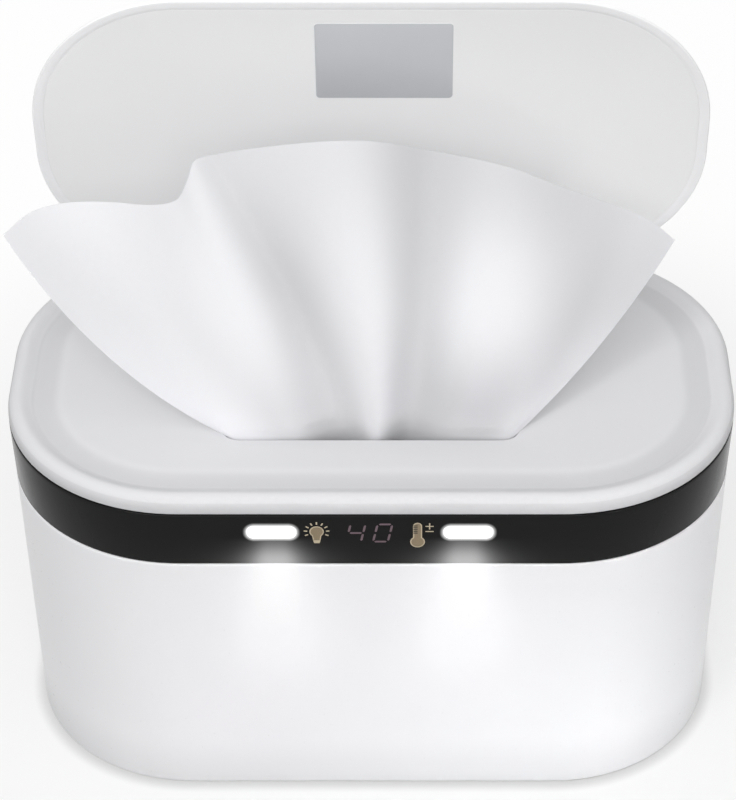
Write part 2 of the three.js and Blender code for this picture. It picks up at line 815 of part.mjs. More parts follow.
function power_lead() {
  const start = new THREE.Vector3(inlet_x, rear_face_y(inlet_z) - inlet_length - fit_gap, inlet_z);
  const board_edge = board_x + board_width / 2;
  const end = new THREE.Vector3(board_edge - board_post_margin, board_y + board_depth / 4,
    board_top_z() + lead_radius + fit_gap);
  const under_pad = pad_z - 2 * lead_radius - fit_gap;
  const route = curve([
    start,
    new THREE.Vector3(start.x, start.y - inlet_radius, (start.z + under_pad) / 2),
    new THREE.Vector3(start.x - inlet_radius, start.y - 2 * inlet_radius, under_pad - lead_radius),
    new THREE.Vector3((start.x + board_edge) / 2, end.y + inlet_radius, (under_pad + end.z) / 2),
    new THREE.Vector3(board_edge + inlet_radius, end.y, end.z + lead_radius),
    end,
  ]);
  const section = new THREE.Shape();
  section.absarc(0, 0, lead_radius, 0, 2 * Math.PI);
  return new THREE.ExtrudeGeometry(section, {
    steps: lead_steps, extrudePath: route, curveSegments: lead_sides, bevelEnabled: false,
  });
}

// Ribbon between the boards: up the front wall, then back over the base to the main board
function display_ribbon() {
  const front_y = -(rear_face_y(plate_top_z + base_lip_slope) - housing_wall - base_lip);
  const back_y = board_y - board_depth / 2 + board_post_margin;
  const low = board_top_z() + fit_gap;
  const high = band_bottom_z + window_low - display_board_margin - fit_gap;
  const wall = block([-ribbon_width / 2, ribbon_width / 2],
    [front_y, front_y + ribbon_thickness], [low, high]);
  const floor = block([-ribbon_width / 2, ribbon_width / 2],
    [front_y, back_y], [low, low + ribbon_thickness]);
  return joined(wall, floor);
}

function display_board() {
  const low = band_bottom_z + window_low - display_board_margin;
  const high = band_bottom_z + window_high + display_board_margin;
  const flat = block([-display_board_width / 2, display_board_width / 2],
    [board_front_y, board_front_y + board_thickness], [low, high]);
  const holes = sides.map(([, side]) => bar_y(small_screw_radius + pin_gap, side * front_screw_x,
    [board_front_y - overrun, board_front_y + board_thickness + overrun], light_z, pin_sides));
  return cut(flat, ...holes);
}

// Middle surface of the wipe: u runs across it, v from the slot's edge (0) to the top edge (1).
// Below 0 it drops through the slot as a tail that draws in.
function wipe_surface() {
  // Across share, lean share and height share of the top edge, left to right
  const top_shares = [
    [-1.1, 0.02, 0.75], [-1.02, -0.04, 0.83], [-0.9, -0.06, 0.9], [-0.73, 0, 0.92], [-0.585, 0.04, 0.92],
    [-0.53, 0.22, 0.925], [-0.48, 0.44, 0.94], [-0.35, 0.49, 0.97], [-0.18, 0.45, 0.995], [-0.02, 0.47, 1],
    [0.12, 0.54, 0.965], [0.22, 0.5, 0.95], [0.37, 0.36, 0.95], [0.55, 0.23, 0.88], [0.68, 0.2, 0.83],
    [0.79, 0.1, 0.8], [0.86, 0.06, 0.755], [0.905, 0.04, 0.71],
  ];
  // Across share and fold share (0 at the slot's front edge, 1 at the deepest fold) in the slot
  const slot_shares = [
    [-1, 0.16], [-0.94, 0.02], [-0.86, 0.01], [-0.74, 0.05], [-0.62, 0.12],
    [-0.5, 0.03], [-0.38, 0.02], [-0.3, 0.3], [-0.2, 1], [-0.1, 0.62],
    [0.02, 0.04], [0.1, 0.1], [0.16, 0.7], [0.26, 1], [0.38, 0.4],
    [0.5, 0.06], [0.76, 0.01], [1, 0.14],
  ];
  const front_y = slot_front_y + fit_gap + wipe_thickness;
  const top_edge = curve(top_shares.map(([across, lean, rise]) => new THREE.Vector3(
    across * wipe_reach, front_y + wipe_fold_depth + lean * wipe_lean, plateau_z + rise * wipe_rise)));
  const slot_edge = curve(slot_shares.map(([across, fold]) => new THREE.Vector3(
    across * wipe_slot_reach, front_y + fold * wipe_fold_depth, plateau_z)));
  return (u, v) => {
    const top = top_edge.getPoint(u);
    const low = slot_edge.getPoint(u);
    if (v < 0) {
      const drawn = 1 + v * (1 - wipe_tail_share);
      const middle = new THREE.Vector3(0, front_y + wipe_fold_depth / 2, plateau_z);
      return low.sub(middle).multiplyScalar(drawn).add(middle).setZ(plateau_z + v * wipe_tail);
    }
    const belly = 4 * v * (1 - v);
    const side = (2 * u - 1) ** 2;
    const point = low.lerp(top, v);
    point.y -= belly * (1 - side) * wipe_front_belly;
    point.z -= belly * side * wipe_side_sag;
    return point;
  };
}

// A thin closed sheet about a middle surface
function sheet(surface, across_steps, rows, thickness) {
  const points = [];
  const index = [];
  const small = thickness / wipe_reach;
  for (const face of [1, -1]) {
    for (const v of rows) {
      for (let step = 0; step <= across_steps; step += 1) {
        const u = step / across_steps;
        const along = surface(Math.min(u + small, 1), v).sub(surface(Math.max(u - small, 0), v));
        const up = surface(u, Math.min(v + small, 1)).sub(surface(u, Math.max(v - small, rows[0])));
        const normal = along.cross(up).normalize();
        points.push(surface(u, v).addScaledVector(normal, (face * thickness) / 2));
      }
    }
  }
  const row_length = across_steps + 1;
  const layer = rows.length * row_length;
  const at = (face, row, step) => face * layer + row * row_length + step;
  const quad = (a, b, c, d) => index.push(a, b, c, a, c, d);
  for (let row = 0; row < rows.length - 1; row += 1) {
    for (let step = 0; step < across_steps; step += 1) {
      quad(at(0, row, step), at(0, row, step + 1), at(0, row + 1, step + 1), at(0, row + 1, step));
      quad(at(1, row, step), at(1, row + 1, step), at(1, row + 1, step + 1), at(1, row, step + 1));
    }
    quad(at(0, row, 0), at(0, row + 1, 0), at(1, row + 1, 0), at(1, row, 0));
    quad(at(0, row, across_steps), at(1, row, across_steps),
      at(1, row + 1, across_steps), at(0, row + 1, across_steps));
  }
  const top = rows.length - 1;
  for (let step = 0; step < across_steps; step += 1) {
    quad(at(0, 0, step), at(1, 0, step), at(1, 0, step + 1), at(0, 0, step + 1));
    quad(at(0, top, step), at(0, top, step + 1), at(1, top, step + 1), at(1, top, step));
  }
  return outward(points, index);
}

function wipe_sheet() {
  const rows = [];
  for (let step = -wipe_tail_steps; step <= wipe_up_steps; step += 1) {
    rows.push(step < 0 ? step / wipe_tail_steps : step / wipe_up_steps);
  }
  return sheet(wipe_surface(), wipe_across_steps, rows, wipe_thickness);
}

// Housing, band, tank and base
place(warmer, "outer_housing", outer_housing(), white);
place(warmer, "control_band", control_band(), smoked);
place(warmer, "wipe_tank", wipe_tank(), tank_grey);
place(warmer, "base_plate", base_plate(), tank_grey);

for (const [at, [x, y]] of screw_places().entries()) {
  const name = `base_screw_${ends[at < 2 ? 0 : 1][0]}_${sides[at % 2][0]}`;
  const height = foot_stand + screw_head_sunk - fit_gap - screw_head_height;
  place(warmer, name, screw(screw_head_radius, screw_head_height, screw_radius, screw_length), steel)
    .position.set(x, y, height);
}
for (const [at, [x, y]] of foot_places().entries()) {
  const name = `foot_${ends[at < 2 ? 0 : 1][0]}_${sides[at % 2][0]}`;
  place(warmer, name, bar_z(foot_radius, x, y, [0, foot_stand + foot_pocket - fit_gap]), soft_rubber);
}

// Heater stack under the tank's floor
const stack = shrunk(waist, heater_inset);
place(warmer, "heat_spreader", plate(stack, spreader_z, spreader_z + spreader_thickness), alloy);
place(warmer, "heater_mat", plate(stack, mat_z, mat_z + mat_thickness), heater_orange);
const pad_half_depth = stack.depth / 2;
place(warmer, "insulation_pad", block(
  [-stack.width / 2 + stack.corner / 2, stack.width / 2 - pad_short],
  [-pad_half_depth + stack.corner / 4, pad_half_depth - stack.corner / 4],
  [pad_z, pad_z + pad_thickness],
), foam);
const sensor_x = stack.width / 2 - pad_short + sensor_spacing;
place(warmer, "thermal_fuse", bar_y(fuse_radius, sensor_x, [-fuse_length / 2, fuse_length / 2],
  mat_z - fit_gap - fuse_radius, pin_sides), steel);
place(warmer, "thermistor", bar_y(thermistor_radius, sensor_x + sensor_spacing,
  [-thermistor_length / 2, thermistor_length / 2],
  mat_z - fit_gap - thermistor_radius, pin_sides), dark_parts);

// Main board and power
place(warmer, "main_board", main_board(), board_green);
place(warmer, "power_relay", block([relay_x, relay_x + relay_width], [relay_y, relay_y + relay_depth],
  [board_top_z() + fit_gap, board_top_z() + fit_gap + relay_height]), dark_parts);
for (const [at, [x, y]] of board_post_places().entries()) {
  const name = `board_screw_${sides[at][0]}`;
  const driven = screw(small_head_radius, small_head_height, small_screw_radius, small_screw_length);
  place(warmer, name, driven.rotateX(Math.PI), steel)
    .position.set(x, y, board_top_z() + fit_gap + small_head_height);
}
place(warmer, "dc_inlet", dc_inlet(), dark_parts)
  .position.set(inlet_x, rear_face_y(inlet_z) - inlet_length + fit_gap, inlet_z);
place(warmer, "power_lead", power_lead(), dark_parts);

// Front electronics
place(warmer, "display_board", display_board(), board_green);
place(warmer, "display_ribbon", display_ribbon(), foam);
const face_y = -(waist_y - band_wall - fit_gap);
const on_board_y = board_front_y - fit_gap;
const digits_z = light_z - digits_drop;
place(warmer, "digit_display", block([digits_x - digits_width / 2, digits_x + digits_width / 2],
  [face_y, on_board_y], [digits_z - digits_height / 2, digits_z + digits_height / 2]), dark_parts);
place(warmer, "touch_pad_light", bar_y(touch_radius - fit_gap, touch_light_x, [face_y, on_board_y], light_z,
  pin_sides), foam);
place(warmer, "touch_pad_heat", bar_y(touch_radius - fit_gap, touch_heat_x, [face_y, on_board_y], light_z,
  pin_sides), foam);
const band_face_share = light_above_band / band_height;
const band_face_y = -(waist_y + waist_inset * band_face_share) - light_proud;
for (const [name, side] of sides) {
  const x = side * light_x;
  place(warmer, `night_light_led_${name}`, block([x - led_width / 2, x + led_width / 2],
    [on_board_y - led_thickness, on_board_y], [light_z - led_height / 2, light_z + led_height / 2]), glow);
  place(warmer, `night_light_lens_${name}`, pill_y(light_width, light_height, light_corner, x, light_z,
    [band_face_y, on_board_y - led_thickness - fit_gap]), glow);
  const driven = screw(small_head_radius, small_head_height, small_screw_radius, small_screw_length);
  const head_y = board_front_y + board_thickness + fit_gap + small_head_height;
  place(warmer, `display_screw_${name}`, driven.rotateX(Math.PI / 2), steel)
    .position.set(side * front_screw_x, head_y, light_z);
}

// Deck with its seal, its hinge pins and the wipe in its slot
place(warmer, "deck_cover", deck_cover(), deck_white);
place(warmer, "deck_seal", loft(rings_of(waist, [
  [seal_inset, flange_top_z + fit_gap],
  [seal_inset, deck_under_z - fit_gap],
  [seal_inset + seal_width, deck_under_z - fit_gap],
  [seal_inset + seal_width, flange_top_z + fit_gap],
])), silicone);
place(warmer, "wipe_sheet", wipe_sheet(), cloth);
for (const [name, side] of sides) {
  const span = hinge_spans(side).pin;
  place(warmer, `deck_hinge_pin_${name}`, bar_x(pin_radius, span, deck_axis_y, deck_axis_z), steel);
  place(warmer, `lid_hinge_pin_${name}`, bar_x(pin_radius, span, lid_axis_y, lid_axis_z), steel);
}

// The lid is drawn closed and turned open about its hinge
const lid_group = new THREE.Group();
lid_group.position.set(0, lid_axis_y, lid_axis_z);
lid_group.rotation.x = -THREE.MathUtils.degToRad(lid_angle_deg);
const lid_closed = new THREE.Group();
lid_closed.position.set(0, -lid_axis_y, -lid_axis_z);
lid_group.add(lid_closed);
warmer.add(lid_group);
place(lid_closed, "lid_shell", lid_shell(), lid_white);
place(lid_closed, "lid_liner", lid_liner(), lid_white);
place(lid_closed, "lid_label_plate", label_plate(), label_grey);
for (const [name, side] of sides) {
  const start = hinge_spans(side).knuckle[0];
  const span = [start, start + washer_thickness];
  const washer = cut(bar_x(washer_radius, span, lid_axis_y, lid_axis_z, disc_sides),
    bar_x(pin_radius + pin_gap, grown(span, overrun), lid_axis_y, lid_axis_z));
  place(lid_closed, `lid_hinge_washer_${name}`, washer, silicone);
}

export default warmer;
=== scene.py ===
# %% [markdown]
# # A baby wipe warmer, dressed for its picture
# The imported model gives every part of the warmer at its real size. Here each part that shows gets the
# smooth form and the finish of the real object: a white tapered housing, a glossy black band with two
# night lights and a small display, a soft-edged deck with a slot, a lid that stands open, and the wipe
# that is pulled up through the slot. All lengths are in metres, and `mm` turns millimetres into them.

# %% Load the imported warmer
import json
import math

import bmesh
import bpy
from mathutils import Matrix, Vector


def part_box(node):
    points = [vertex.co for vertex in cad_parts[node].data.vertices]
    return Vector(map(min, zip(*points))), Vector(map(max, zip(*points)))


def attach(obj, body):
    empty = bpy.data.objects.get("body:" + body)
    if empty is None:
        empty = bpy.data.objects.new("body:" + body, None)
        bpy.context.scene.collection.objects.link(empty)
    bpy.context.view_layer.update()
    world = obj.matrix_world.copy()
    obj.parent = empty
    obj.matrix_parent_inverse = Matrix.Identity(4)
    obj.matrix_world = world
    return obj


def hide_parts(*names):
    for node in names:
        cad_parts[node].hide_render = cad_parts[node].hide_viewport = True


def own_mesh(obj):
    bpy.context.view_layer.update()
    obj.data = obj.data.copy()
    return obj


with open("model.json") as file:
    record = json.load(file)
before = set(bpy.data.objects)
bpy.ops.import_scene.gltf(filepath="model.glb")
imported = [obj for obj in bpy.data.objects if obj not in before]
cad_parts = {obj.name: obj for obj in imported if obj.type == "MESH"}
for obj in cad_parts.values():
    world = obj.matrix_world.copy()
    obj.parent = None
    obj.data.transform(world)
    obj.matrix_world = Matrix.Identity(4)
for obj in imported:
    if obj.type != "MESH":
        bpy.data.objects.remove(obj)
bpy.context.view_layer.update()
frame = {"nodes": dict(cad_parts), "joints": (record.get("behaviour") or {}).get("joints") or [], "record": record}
mm = 0.001

# %% [markdown]
# ## The camera
# The picture was taken from the front, well above the lid's hinge, through a long lens: the housing's
# sides hardly draw together. A long lens from about 0.9 m gives the same outline of band, base and lid.
# The camera stood a little to the right of the middle, which the lens shift makes up for.

# %% Camera
photo_width_px = 736
photo_height_px = 800
focal_px = 3000
sensor_width_mm = 36
camera_pitch = math.radians(37.5)
camera_distance = 924.76 * mm
camera_aim = Vector((-1.2 * mm, 0, 104.5 * mm))
camera_aside = 12 * mm
aside_px = camera_aside / camera_distance * focal_px

camera_data = bpy.data.cameras.new("photo_camera")
camera_data.sensor_fit = "HORIZONTAL"
camera_data.sensor_width = sensor_width_mm
camera_data.lens = focal_px / photo_width_px * sensor_width_mm
camera_data.shift_x = -aside_px / photo_width_px
camera = bpy.data.objects.new("photo_camera", camera_data)
bpy.context.collection.objects.link(camera)
toward_camera = Vector((0, -math.cos(camera_pitch), math.sin(camera_pitch)))
camera_up = Vector((0, math.sin(camera_pitch), math.cos(camera_pitch)))
camera_right = Vector((1, 0, 0))
camera.location = camera_aim + toward_camera * camera_distance + camera_right * camera_aside
camera.rotation_euler = (-toward_camera).to_track_quat("-Z", "Y").to_euler()
bpy.context.scene.camera = camera
bpy.context.scene.view_settings.view_transform = "Standard"
print("lens in mm:", round(camera_data.lens, 1))

# %% [markdown]
# ## The studio
# A white product picture needs soft light from large lamps, so that white plastic keeps its shape without
# clipping. The key lamp stands front left, a broad one stands high in front, and a weak one low on the
# right. Two narrow beams from low on the right reach the housing's side and foot, which the large lamps
# leave grey. The page is white: the floor and the world answer the camera, mirrors and glass with white,
# while the light on the object stays at a plain level. Near the warmer the paper shows its shadow, and
# right beside the base a painted line of deeper shadow, as a real object has where it nearly touches.

# %% Helpers for shader nodes
def maths(tree, operation, first, second=None, third=None):
    """A Math node; each operand is a number or a socket."""
    node = tree.nodes.new("ShaderNodeMath")
    node.operation = operation
    for slot_number, operand in enumerate((first, second, third)):
        if operand is None:
            continue
        if isinstance(operand, (int, float)):
            node.inputs[slot_number].default_value = operand
        else:
            tree.links.new(operand, node.inputs[slot_number])
    return node.outputs[0]


def vector_maths(tree, operation, first, second=None):
    """A Vector Math node; the first operand is a socket and the second a plain vector."""
    node = tree.nodes.new("ShaderNodeVectorMath")
    node.operation = operation
    tree.links.new(first, node.inputs[0])
    if second is not None:
        node.inputs[1].default_value = second
    return node.outputs["Value" if operation == "LENGTH" else "Vector"]


def ramp(tree, value, low, high, to_low=0.0, to_high=1.0):
    """A smooth step: to_low at low, to_high at high."""
    node = tree.nodes.new("ShaderNodeMapRange")
    node.interpolation_type = "SMOOTHSTEP"
    tree.links.new(value, node.inputs["Value"])
    for name, number in (("From Min", low), ("From Max", high), ("To Min", to_low), ("To Max", to_high)):
        node.inputs[name].default_value = number
    return node.outputs["Result"]


def place_on(tree, kind="Object"):
    return tree.nodes.new("ShaderNodeTexCoord").outputs[kind]


def seen_directly(tree):
    """1 for rays from the camera, mirrors and glass, and 0 for the rays that carry light."""
    path = tree.nodes.new("ShaderNodeLightPath")
    total = path.outputs["Is Camera Ray"]
    for name in ("Is Glossy Ray", "Is Transmission Ray"):
        total = maths(tree, "MAXIMUM", total, path.outputs[name])
    return total


def new_material(name):
    """A material with its node tree and its Principled BSDF."""
    material = bpy.data.materials.new(name)
    material.use_nodes = True
    return material, material.node_tree, material.node_tree.nodes["Principled BSDF"]


# %% World
world_level = 0.61
page_white = 1.0
white_light = (1, 1, 1, 1)
world = bpy.data.worlds.new("white_studio")
bpy.context.scene.world = world
world.use_nodes = True
sky = world.node_tree
sky_level = sky.nodes.new("ShaderNodeMix")
sky_level.inputs["A"].default_value = world_level
sky_level.inputs["B"].default_value = page_white
sky.links.new(seen_directly(sky), sky_level.inputs["Factor"])
sky.links.new(sky_level.outputs["Result"], sky.nodes["Background"].inputs["Strength"])
sky.nodes["Background"].inputs["Color"].default_value = white_light

# %% The paper floor
floor_side = 12
bpy.ops.mesh.primitive_plane_add(size=floor_side)
floor = bpy.context.object
floor.name = "studio_floor"
paper, paper_tree, paper_shader = new_material("studio_paper")
paper_shader.inputs["Roughness"].default_value = 0.9
paper_shader.inputs["Specular IOR Level"].default_value = 0.1
paper_shader.inputs["Emission Color"].default_value = white_light
floor.data.materials.append(paper)

# %% The painted line of shadow beside the base
# The base has the band's outline, drawn in a little on its way down.
band_low, band_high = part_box("control_band")
rim_size = (band_high.x - band_low.x, band_high.y - band_low.y)
base_inset = 3.2 * mm
base_round = 50.3 * mm
line_reach = 4.5 * mm
line_shade = 0.78
base_reach = Vector([side / 2 - base_inset - base_round for side in rim_size] + [0])
paper_place = place_on(paper_tree)
outside = vector_maths(paper_tree, "ABSOLUTE", paper_place)
outside = vector_maths(paper_tree, "SUBTRACT", outside, base_reach)
outside = vector_maths(paper_tree, "MAXIMUM", outside, Vector((0, 0, 0)))
from_base = vector_maths(paper_tree, "LENGTH", outside)
# Painted shadow: right beside the base's rounded outline, the paper's colour and its lift to white are dimmed to
# line_shade.
painted_base_shadow = ramp(paper_tree, from_base, base_round, base_round + line_reach, line_shade, 1.0)

# %% The shadow near the warmer, and the plain white page further out
paper_near = {"reach": 0.14, "shade": 0.35, "lift": 0.59}
paper_far = {"reach": 0.3, "shade": 0.12, "lift": 0.88}
from_middle = vector_maths(paper_tree, "LENGTH", paper_place)


def by_distance(quality):
    """A value that runs from the near paper's to the far paper's, less right beside the base, where a line of
    shadow is painted.
    """
    value = ramp(paper_tree, from_middle, paper_near["reach"], paper_far["reach"],
                 paper_near[quality], paper_far[quality])
    return maths(paper_tree, "MULTIPLY", value, painted_base_shadow)


lifted = maths(paper_tree, "MULTIPLY", seen_directly(paper_tree), by_distance("lift"))
paper_tree.links.new(lifted, paper_shader.inputs["Emission Strength"])
paper_tree.links.new(by_distance("shade"), paper_shader.inputs["Base Color"])

# %% Lamps
lamp_target = Vector((0, 0, 90 * mm))
right_side_target = Vector((45 * mm, -50 * mm, 20 * mm))
right_foot_target = Vector((66 * mm, -62 * mm, 8 * mm))
low_right = (0.7, -1.0, 0.03)


def soft_lamp(name, place, size, power, spread_deg=180, target=lamp_target):
    """A square area lamp that faces the warmer; a small spread keeps its light in a narrow beam."""
    data = bpy.data.lights.new(name, "AREA")
    data.size = size
    data.energy = power
    data.spread = math.radians(spread_deg)
    lamp = bpy.data.objects.new(name, data)
    lamp.location = place
    lamp.rotation_euler = (target - Vector(place)).to_track_quat("-Z", "Y").to_euler()
    bpy.context.collection.objects.link(lamp)


soft_lamp("key_lamp", place=(-0.9, -1.4, 1.6), size=0.6, power=12)
soft_lamp("front_lamp", place=(0, -1.9, 1.7), size=1.2, power=19)
soft_lamp("side_lamp", place=(1.6, -1.3, 0.3), size=1.0, power=3)
soft_lamp("low_beam", place=low_right, size=0.12, power=0.039, spread_deg=16, target=right_side_target)
soft_lamp("foot_beam", place=low_right, size=0.03, power=0.0012, spread_deg=5, target=right_foot_target)
print("lamps:", [light.name for light in bpy.data.lights])

# %% [markdown]
# ## Modelling by hand, in code
# Every shell of this warmer is a rounded rectangle that grows or shrinks with height. By hand one would
# add a cube, bevel its four upright edges and then inset an end face again and again, moving it a little
# each time. The helpers below do just that: `rounded_block` adds the cube, and `follow` insets one of its
# ends along a profile of (inset, height) pairs. An operator acts on all that is selected, so each helper
# first deselects everything and then picks its faces or edges by their place.

# %% Helpers for edit mode
facing_limit = 0.99
same_height = 0.01 * mm
same_place = 0.001 * mm


def deselect_all():
    if bpy.context.mode != "OBJECT":
        bpy.ops.object.mode_set(mode="OBJECT")
    bpy.ops.object.select_all(action="DESELECT")


def select_only(*pieces):
    deselect_all()
    for piece in pieces:
        piece.select_set(True)
    bpy.context.view_layer.objects.active = pieces[0]


def begin_edit(piece, kind):
    """Opens a piece in edit mode with nothing selected; kind is VERT, EDGE or FACE."""
    select_only(piece)
    bpy.ops.object.mode_set(mode="EDIT")
    bpy.ops.mesh.select_mode(type=kind)
    bpy.ops.mesh.select_all(action="DESELECT")


def end_edit():
    bpy.ops.object.mode_set(mode="OBJECT")


def pick_faces(test):
    """Selects the faces whose middle and normal pass the test."""
    mesh = bmesh.from_edit_mesh(bpy.context.object.data)
    for face in mesh.faces:
        if test(face.calc_center_median(), face.normal):
            face.select_set(True)
    bmesh.update_edit_mesh(bpy.context.object.data)


def pick_edges(test):
    """Selects the edges whose two ends pass the test."""
    mesh = bmesh.from_edit_mesh(bpy.context.object.data)
    for edge in mesh.edges:
        if test(edge.verts[0].co, edge.verts[1].co):
            edge.select_set(True)
    bmesh.update_edit_mesh(bpy.context.object.data)


def apply_place(piece):
    """Moves a piece's place, turn and size into its mesh."""
    select_only(piece)
    bpy.ops.object.transform_apply(location=True, rotation=True, scale=True)


def is_upright(first, second):
    return abs(first.x - second.x) < same_place and abs(first.y - second.y) < same_place


# %% Blocks and cylinders to start from
corner_steps = 28


def block(location, scale):
    """A plain block to shape further, as large as scale."""
    deselect_all()
    bpy.ops.mesh.primitive_cube_add(size=1, location=location, scale=scale)
    piece = bpy.context.object
    apply_place(piece)
    return piece


def cylinder(radius, length, sides, location, rotation=(0, 0, 0)):
    """A plain cylinder to shape further, along Z unless it is turned."""
    deselect_all()
    bpy.ops.mesh.primitive_cylinder_add(vertices=sides, radius=radius, depth=length,
                                        location=location, rotation=rotation)
    piece = bpy.context.object
    apply_place(piece)
    return piece


def rounded_block(name, size, corner, low, high, middle=(0, 0), steps=corner_steps):
    """A block of (width, depth) with rounded upright edges, from height low to height high."""
    piece = block((*middle, (low + high) / 2), (*size, high - low))
    piece.name = piece.data.name = name
    begin_edit(piece, "EDGE")
    pick_edges(is_upright)
    bpy.ops.mesh.bevel(offset=corner, segments=steps, affect="EDGES")
    end_edit()
    return piece


# %% Following a profile
edge_steps = 4
lip_steps = 6
foot_steps = 8
roll_steps = 10


def pick_end(facing, height):
    """Selects the flat end of a block: facing is 1 for its top and -1 for its bottom."""
    pick_faces(lambda middle, normal: normal.z * facing > facing_limit
               and abs(middle.z - height) < same_height)


def follow(piece, facing, profile):
    """Insets one end of a block step by step, along (inset, height) pairs that start at its edge."""
    begin_edit(piece, "FACE")
    pick_end(facing, profile[0][1])
    for (inset, height), (next_inset, next_height) in zip(profile, profile[1:]):
        bpy.ops.mesh.inset(thickness=next_inset - inset, depth=facing * (next_height - height))
    end_edit()


def curve(start, end, steps, across, up):
    """Points between two (inset, height) points, without the first one. The two functions turn the share
    of the way into the share of the inset and of the height."""
    shares = [step / steps for step in range(1, steps + 1)]
    return [(start[0] + (end[0] - start[0]) * across(share), start[1] + (end[1] - start[1]) * up(share))
            for share in shares]


def arc(start, end, steps, upright_first=True):
    """A quarter ellipse that leaves its start upright, or else level."""
    def early(share):
        return 1 - math.cos(share * math.pi / 2)

    def late(share):
        return math.sin(share * math.pi / 2)

    across, up = (early, late) if upright_first else (late, early)
    return curve(start, end, steps, across, up)


def soft_step(start, end, steps):
    """An S-shaped ramp."""
    return curve(start, end, steps, lambda share: share, lambda share: share * share * (3 - 2 * share))


def dome(start, end, steps):
    """A low dome: steepest where it leaves the start, level at the far end."""
    return curve(start, end, steps, lambda share: share, lambda share: share * (2 - share))


# %% Cutting, walls, soft edges and joining
bevel_angle_deg = 40


def apply_modifier(piece, kind, **settings):
    """Adds a modifier with these settings and applies it."""
    select_only(piece)
    modifier = piece.modifiers.new(kind.lower(), kind)
    for setting, value in settings.items():
        setattr(modifier, setting, value)
    bpy.ops.object.modifier_apply(modifier=modifier.name)


def combine(piece, operation, other):
    """Adds (UNION) another solid to a piece or cuts it out (DIFFERENCE), and deletes that solid."""
    apply_modifier(piece, "BOOLEAN", operation=operation, solver="EXACT", object=other)
    bpy.data.objects.remove(other)


def cut(piece, *cutters):
    for cutter in cutters:
        combine(piece, "DIFFERENCE", cutter)


def wall(piece, thickness):
    """Gives an open skin a wall of this thickness, inwards."""
    apply_modifier(piece, "SOLIDIFY", thickness=thickness, offset=-1, use_even_offset=True)


def softened(piece, width, segments=3):
    """Rounds the sharp edges of a piece."""
    apply_modifier(piece, "BEVEL", width=width, segments=segments, limit_method="ANGLE",
                   angle_limit=math.radians(bevel_angle_deg))


def open_ends(piece, *heights):
    """Deletes the flat faces at these heights, so that the block becomes a skin."""
    begin_edit(piece, "FACE")
    for height in heights:
        pick_end(1, height)
        pick_end(-1, height)
    bpy.ops.mesh.delete(type="ONLY_FACE")
    end_edit()


def joined(name, *pieces):
    """Joins pieces into one."""
    select_only(*pieces)
    bpy.ops.object.join()
    pieces[0].name = pieces[0].data.name = name
    return pieces[0]


def say(piece):
    corners = [Vector(corner) / mm for corner in piece.bound_box]
    low = [round(min(corner[axis] for corner in corners), 1) for axis in range(3)]
    high = [round(max(corner[axis] for corner in corners), 1) for axis in range(3)]
    print(f"{piece.name}: {len(piece.data.polygons)} faces, {low} to {high} mm")


# %% [markdown]
# ## The housing
# One white shell: widest at the band, drawn in by about 2 mm on its way down and rolled in at the foot.
# The outline is added at the top and its lower end inset along the wall's profile. The two ends are
# opened, and the skin gets the wall of a moulded part.

# %% Sizes of the outline
# The hair is for places where two heights or insets may not be quite the same.
rim_corner = 54 * mm
seam = 0.3 * mm
hair = 0.02 * mm
waist_inset = 0.75 * mm
base_roll = 1 * mm
housing_wall = 2.4 * mm
foot_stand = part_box("base_plate")[0].z
waist_top = band_low.z - seam


def shrunk(size, inset):
    return (size[0] - 2 * inset, size[1] - 2 * inset)


# %% The housing's shell
edge_round = 0.5 * mm
housing_start = waist_top - edge_round
base_edge = (base_inset, foot_stand + base_roll)
waist_edge = (waist_inset, housing_start)
housing = rounded_block("housing_shell", shrunk(rim_size, waist_inset), rim_corner - waist_inset,
                        housing_start - mm, housing_start)
follow(housing, -1, [
    (waist_inset, housing_start - mm),
    base_edge,
    *arc(base_edge, (base_inset + base_roll, foot_stand), roll_steps),
    (base_inset + base_roll + housing_wall, foot_stand),
])
follow(housing, 1, [waist_edge, *arc(waist_edge, (waist_inset + edge_round, waist_top), edge_steps)])
open_ends(housing, waist_top, foot_stand)
wall(housing, housing_wall)
say(housing)

# %% [markdown]
# ## The black control band
# A narrow glossy ring that leans out by less than a millimetre. It is made like the housing's skin, with
# small rounded edges that catch the light. Two rounded windows are cut for the night lights, 0.6 mm above
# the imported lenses, because the picture shows them there. Once the hinges are made, two notches at the
# rear let the deck's hinge ears through.

# %% The band's ring
band_round = 0.45 * mm
band_wall = 1.6 * mm
band_start = band_high.z - band_round
band_foot = (waist_inset, band_low.z + band_round)
band = rounded_block("control_band_gloss", rim_size, rim_corner, band_start - mm, band_start)
follow(band, -1, [
    (0, band_start - mm),
    band_foot,
    *arc(band_foot, (waist_inset + band_round, band_low.z), edge_steps),
    (waist_inset + band_wall, band_low.z),
])
follow(band, 1, [
    (0, band_start),
    *arc((0, band_start), (band_round, band_high.z), edge_steps),
    (band_wall, band_high.z),
])
open_ends(band, band_low.z, band_high.z)
wall(band, band_wall)

# %% Windows in the band
bar_raise = Vector((0, 0, 0.6 * mm))
lens_boxes = [tuple(corner + bar_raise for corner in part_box(node))
              for node in ("night_light_lens_left", "night_light_lens_right")]
lens_corner = 2.2 * mm
lens_corner_steps = 12
window_gap = 0.12 * mm
cut_reach = 4 * mm
turn_upright = Matrix.Rotation(math.radians(90), 4, "X")


def place_at(piece, matrix):
    """Gives a piece this place and turn, and moves them into its mesh."""
    piece.matrix_world = matrix
    apply_place(piece)


def pill_block(name, low, high, corner):
    """A block seen from the front, with rounded corners and its length along Y."""
    size = high - low
    piece = rounded_block(name, (size.x, size.z), corner, -size.y / 2, size.y / 2, steps=lens_corner_steps)
    place_at(piece, Matrix.Translation((low + high) / 2) @ turn_upright)
    return piece


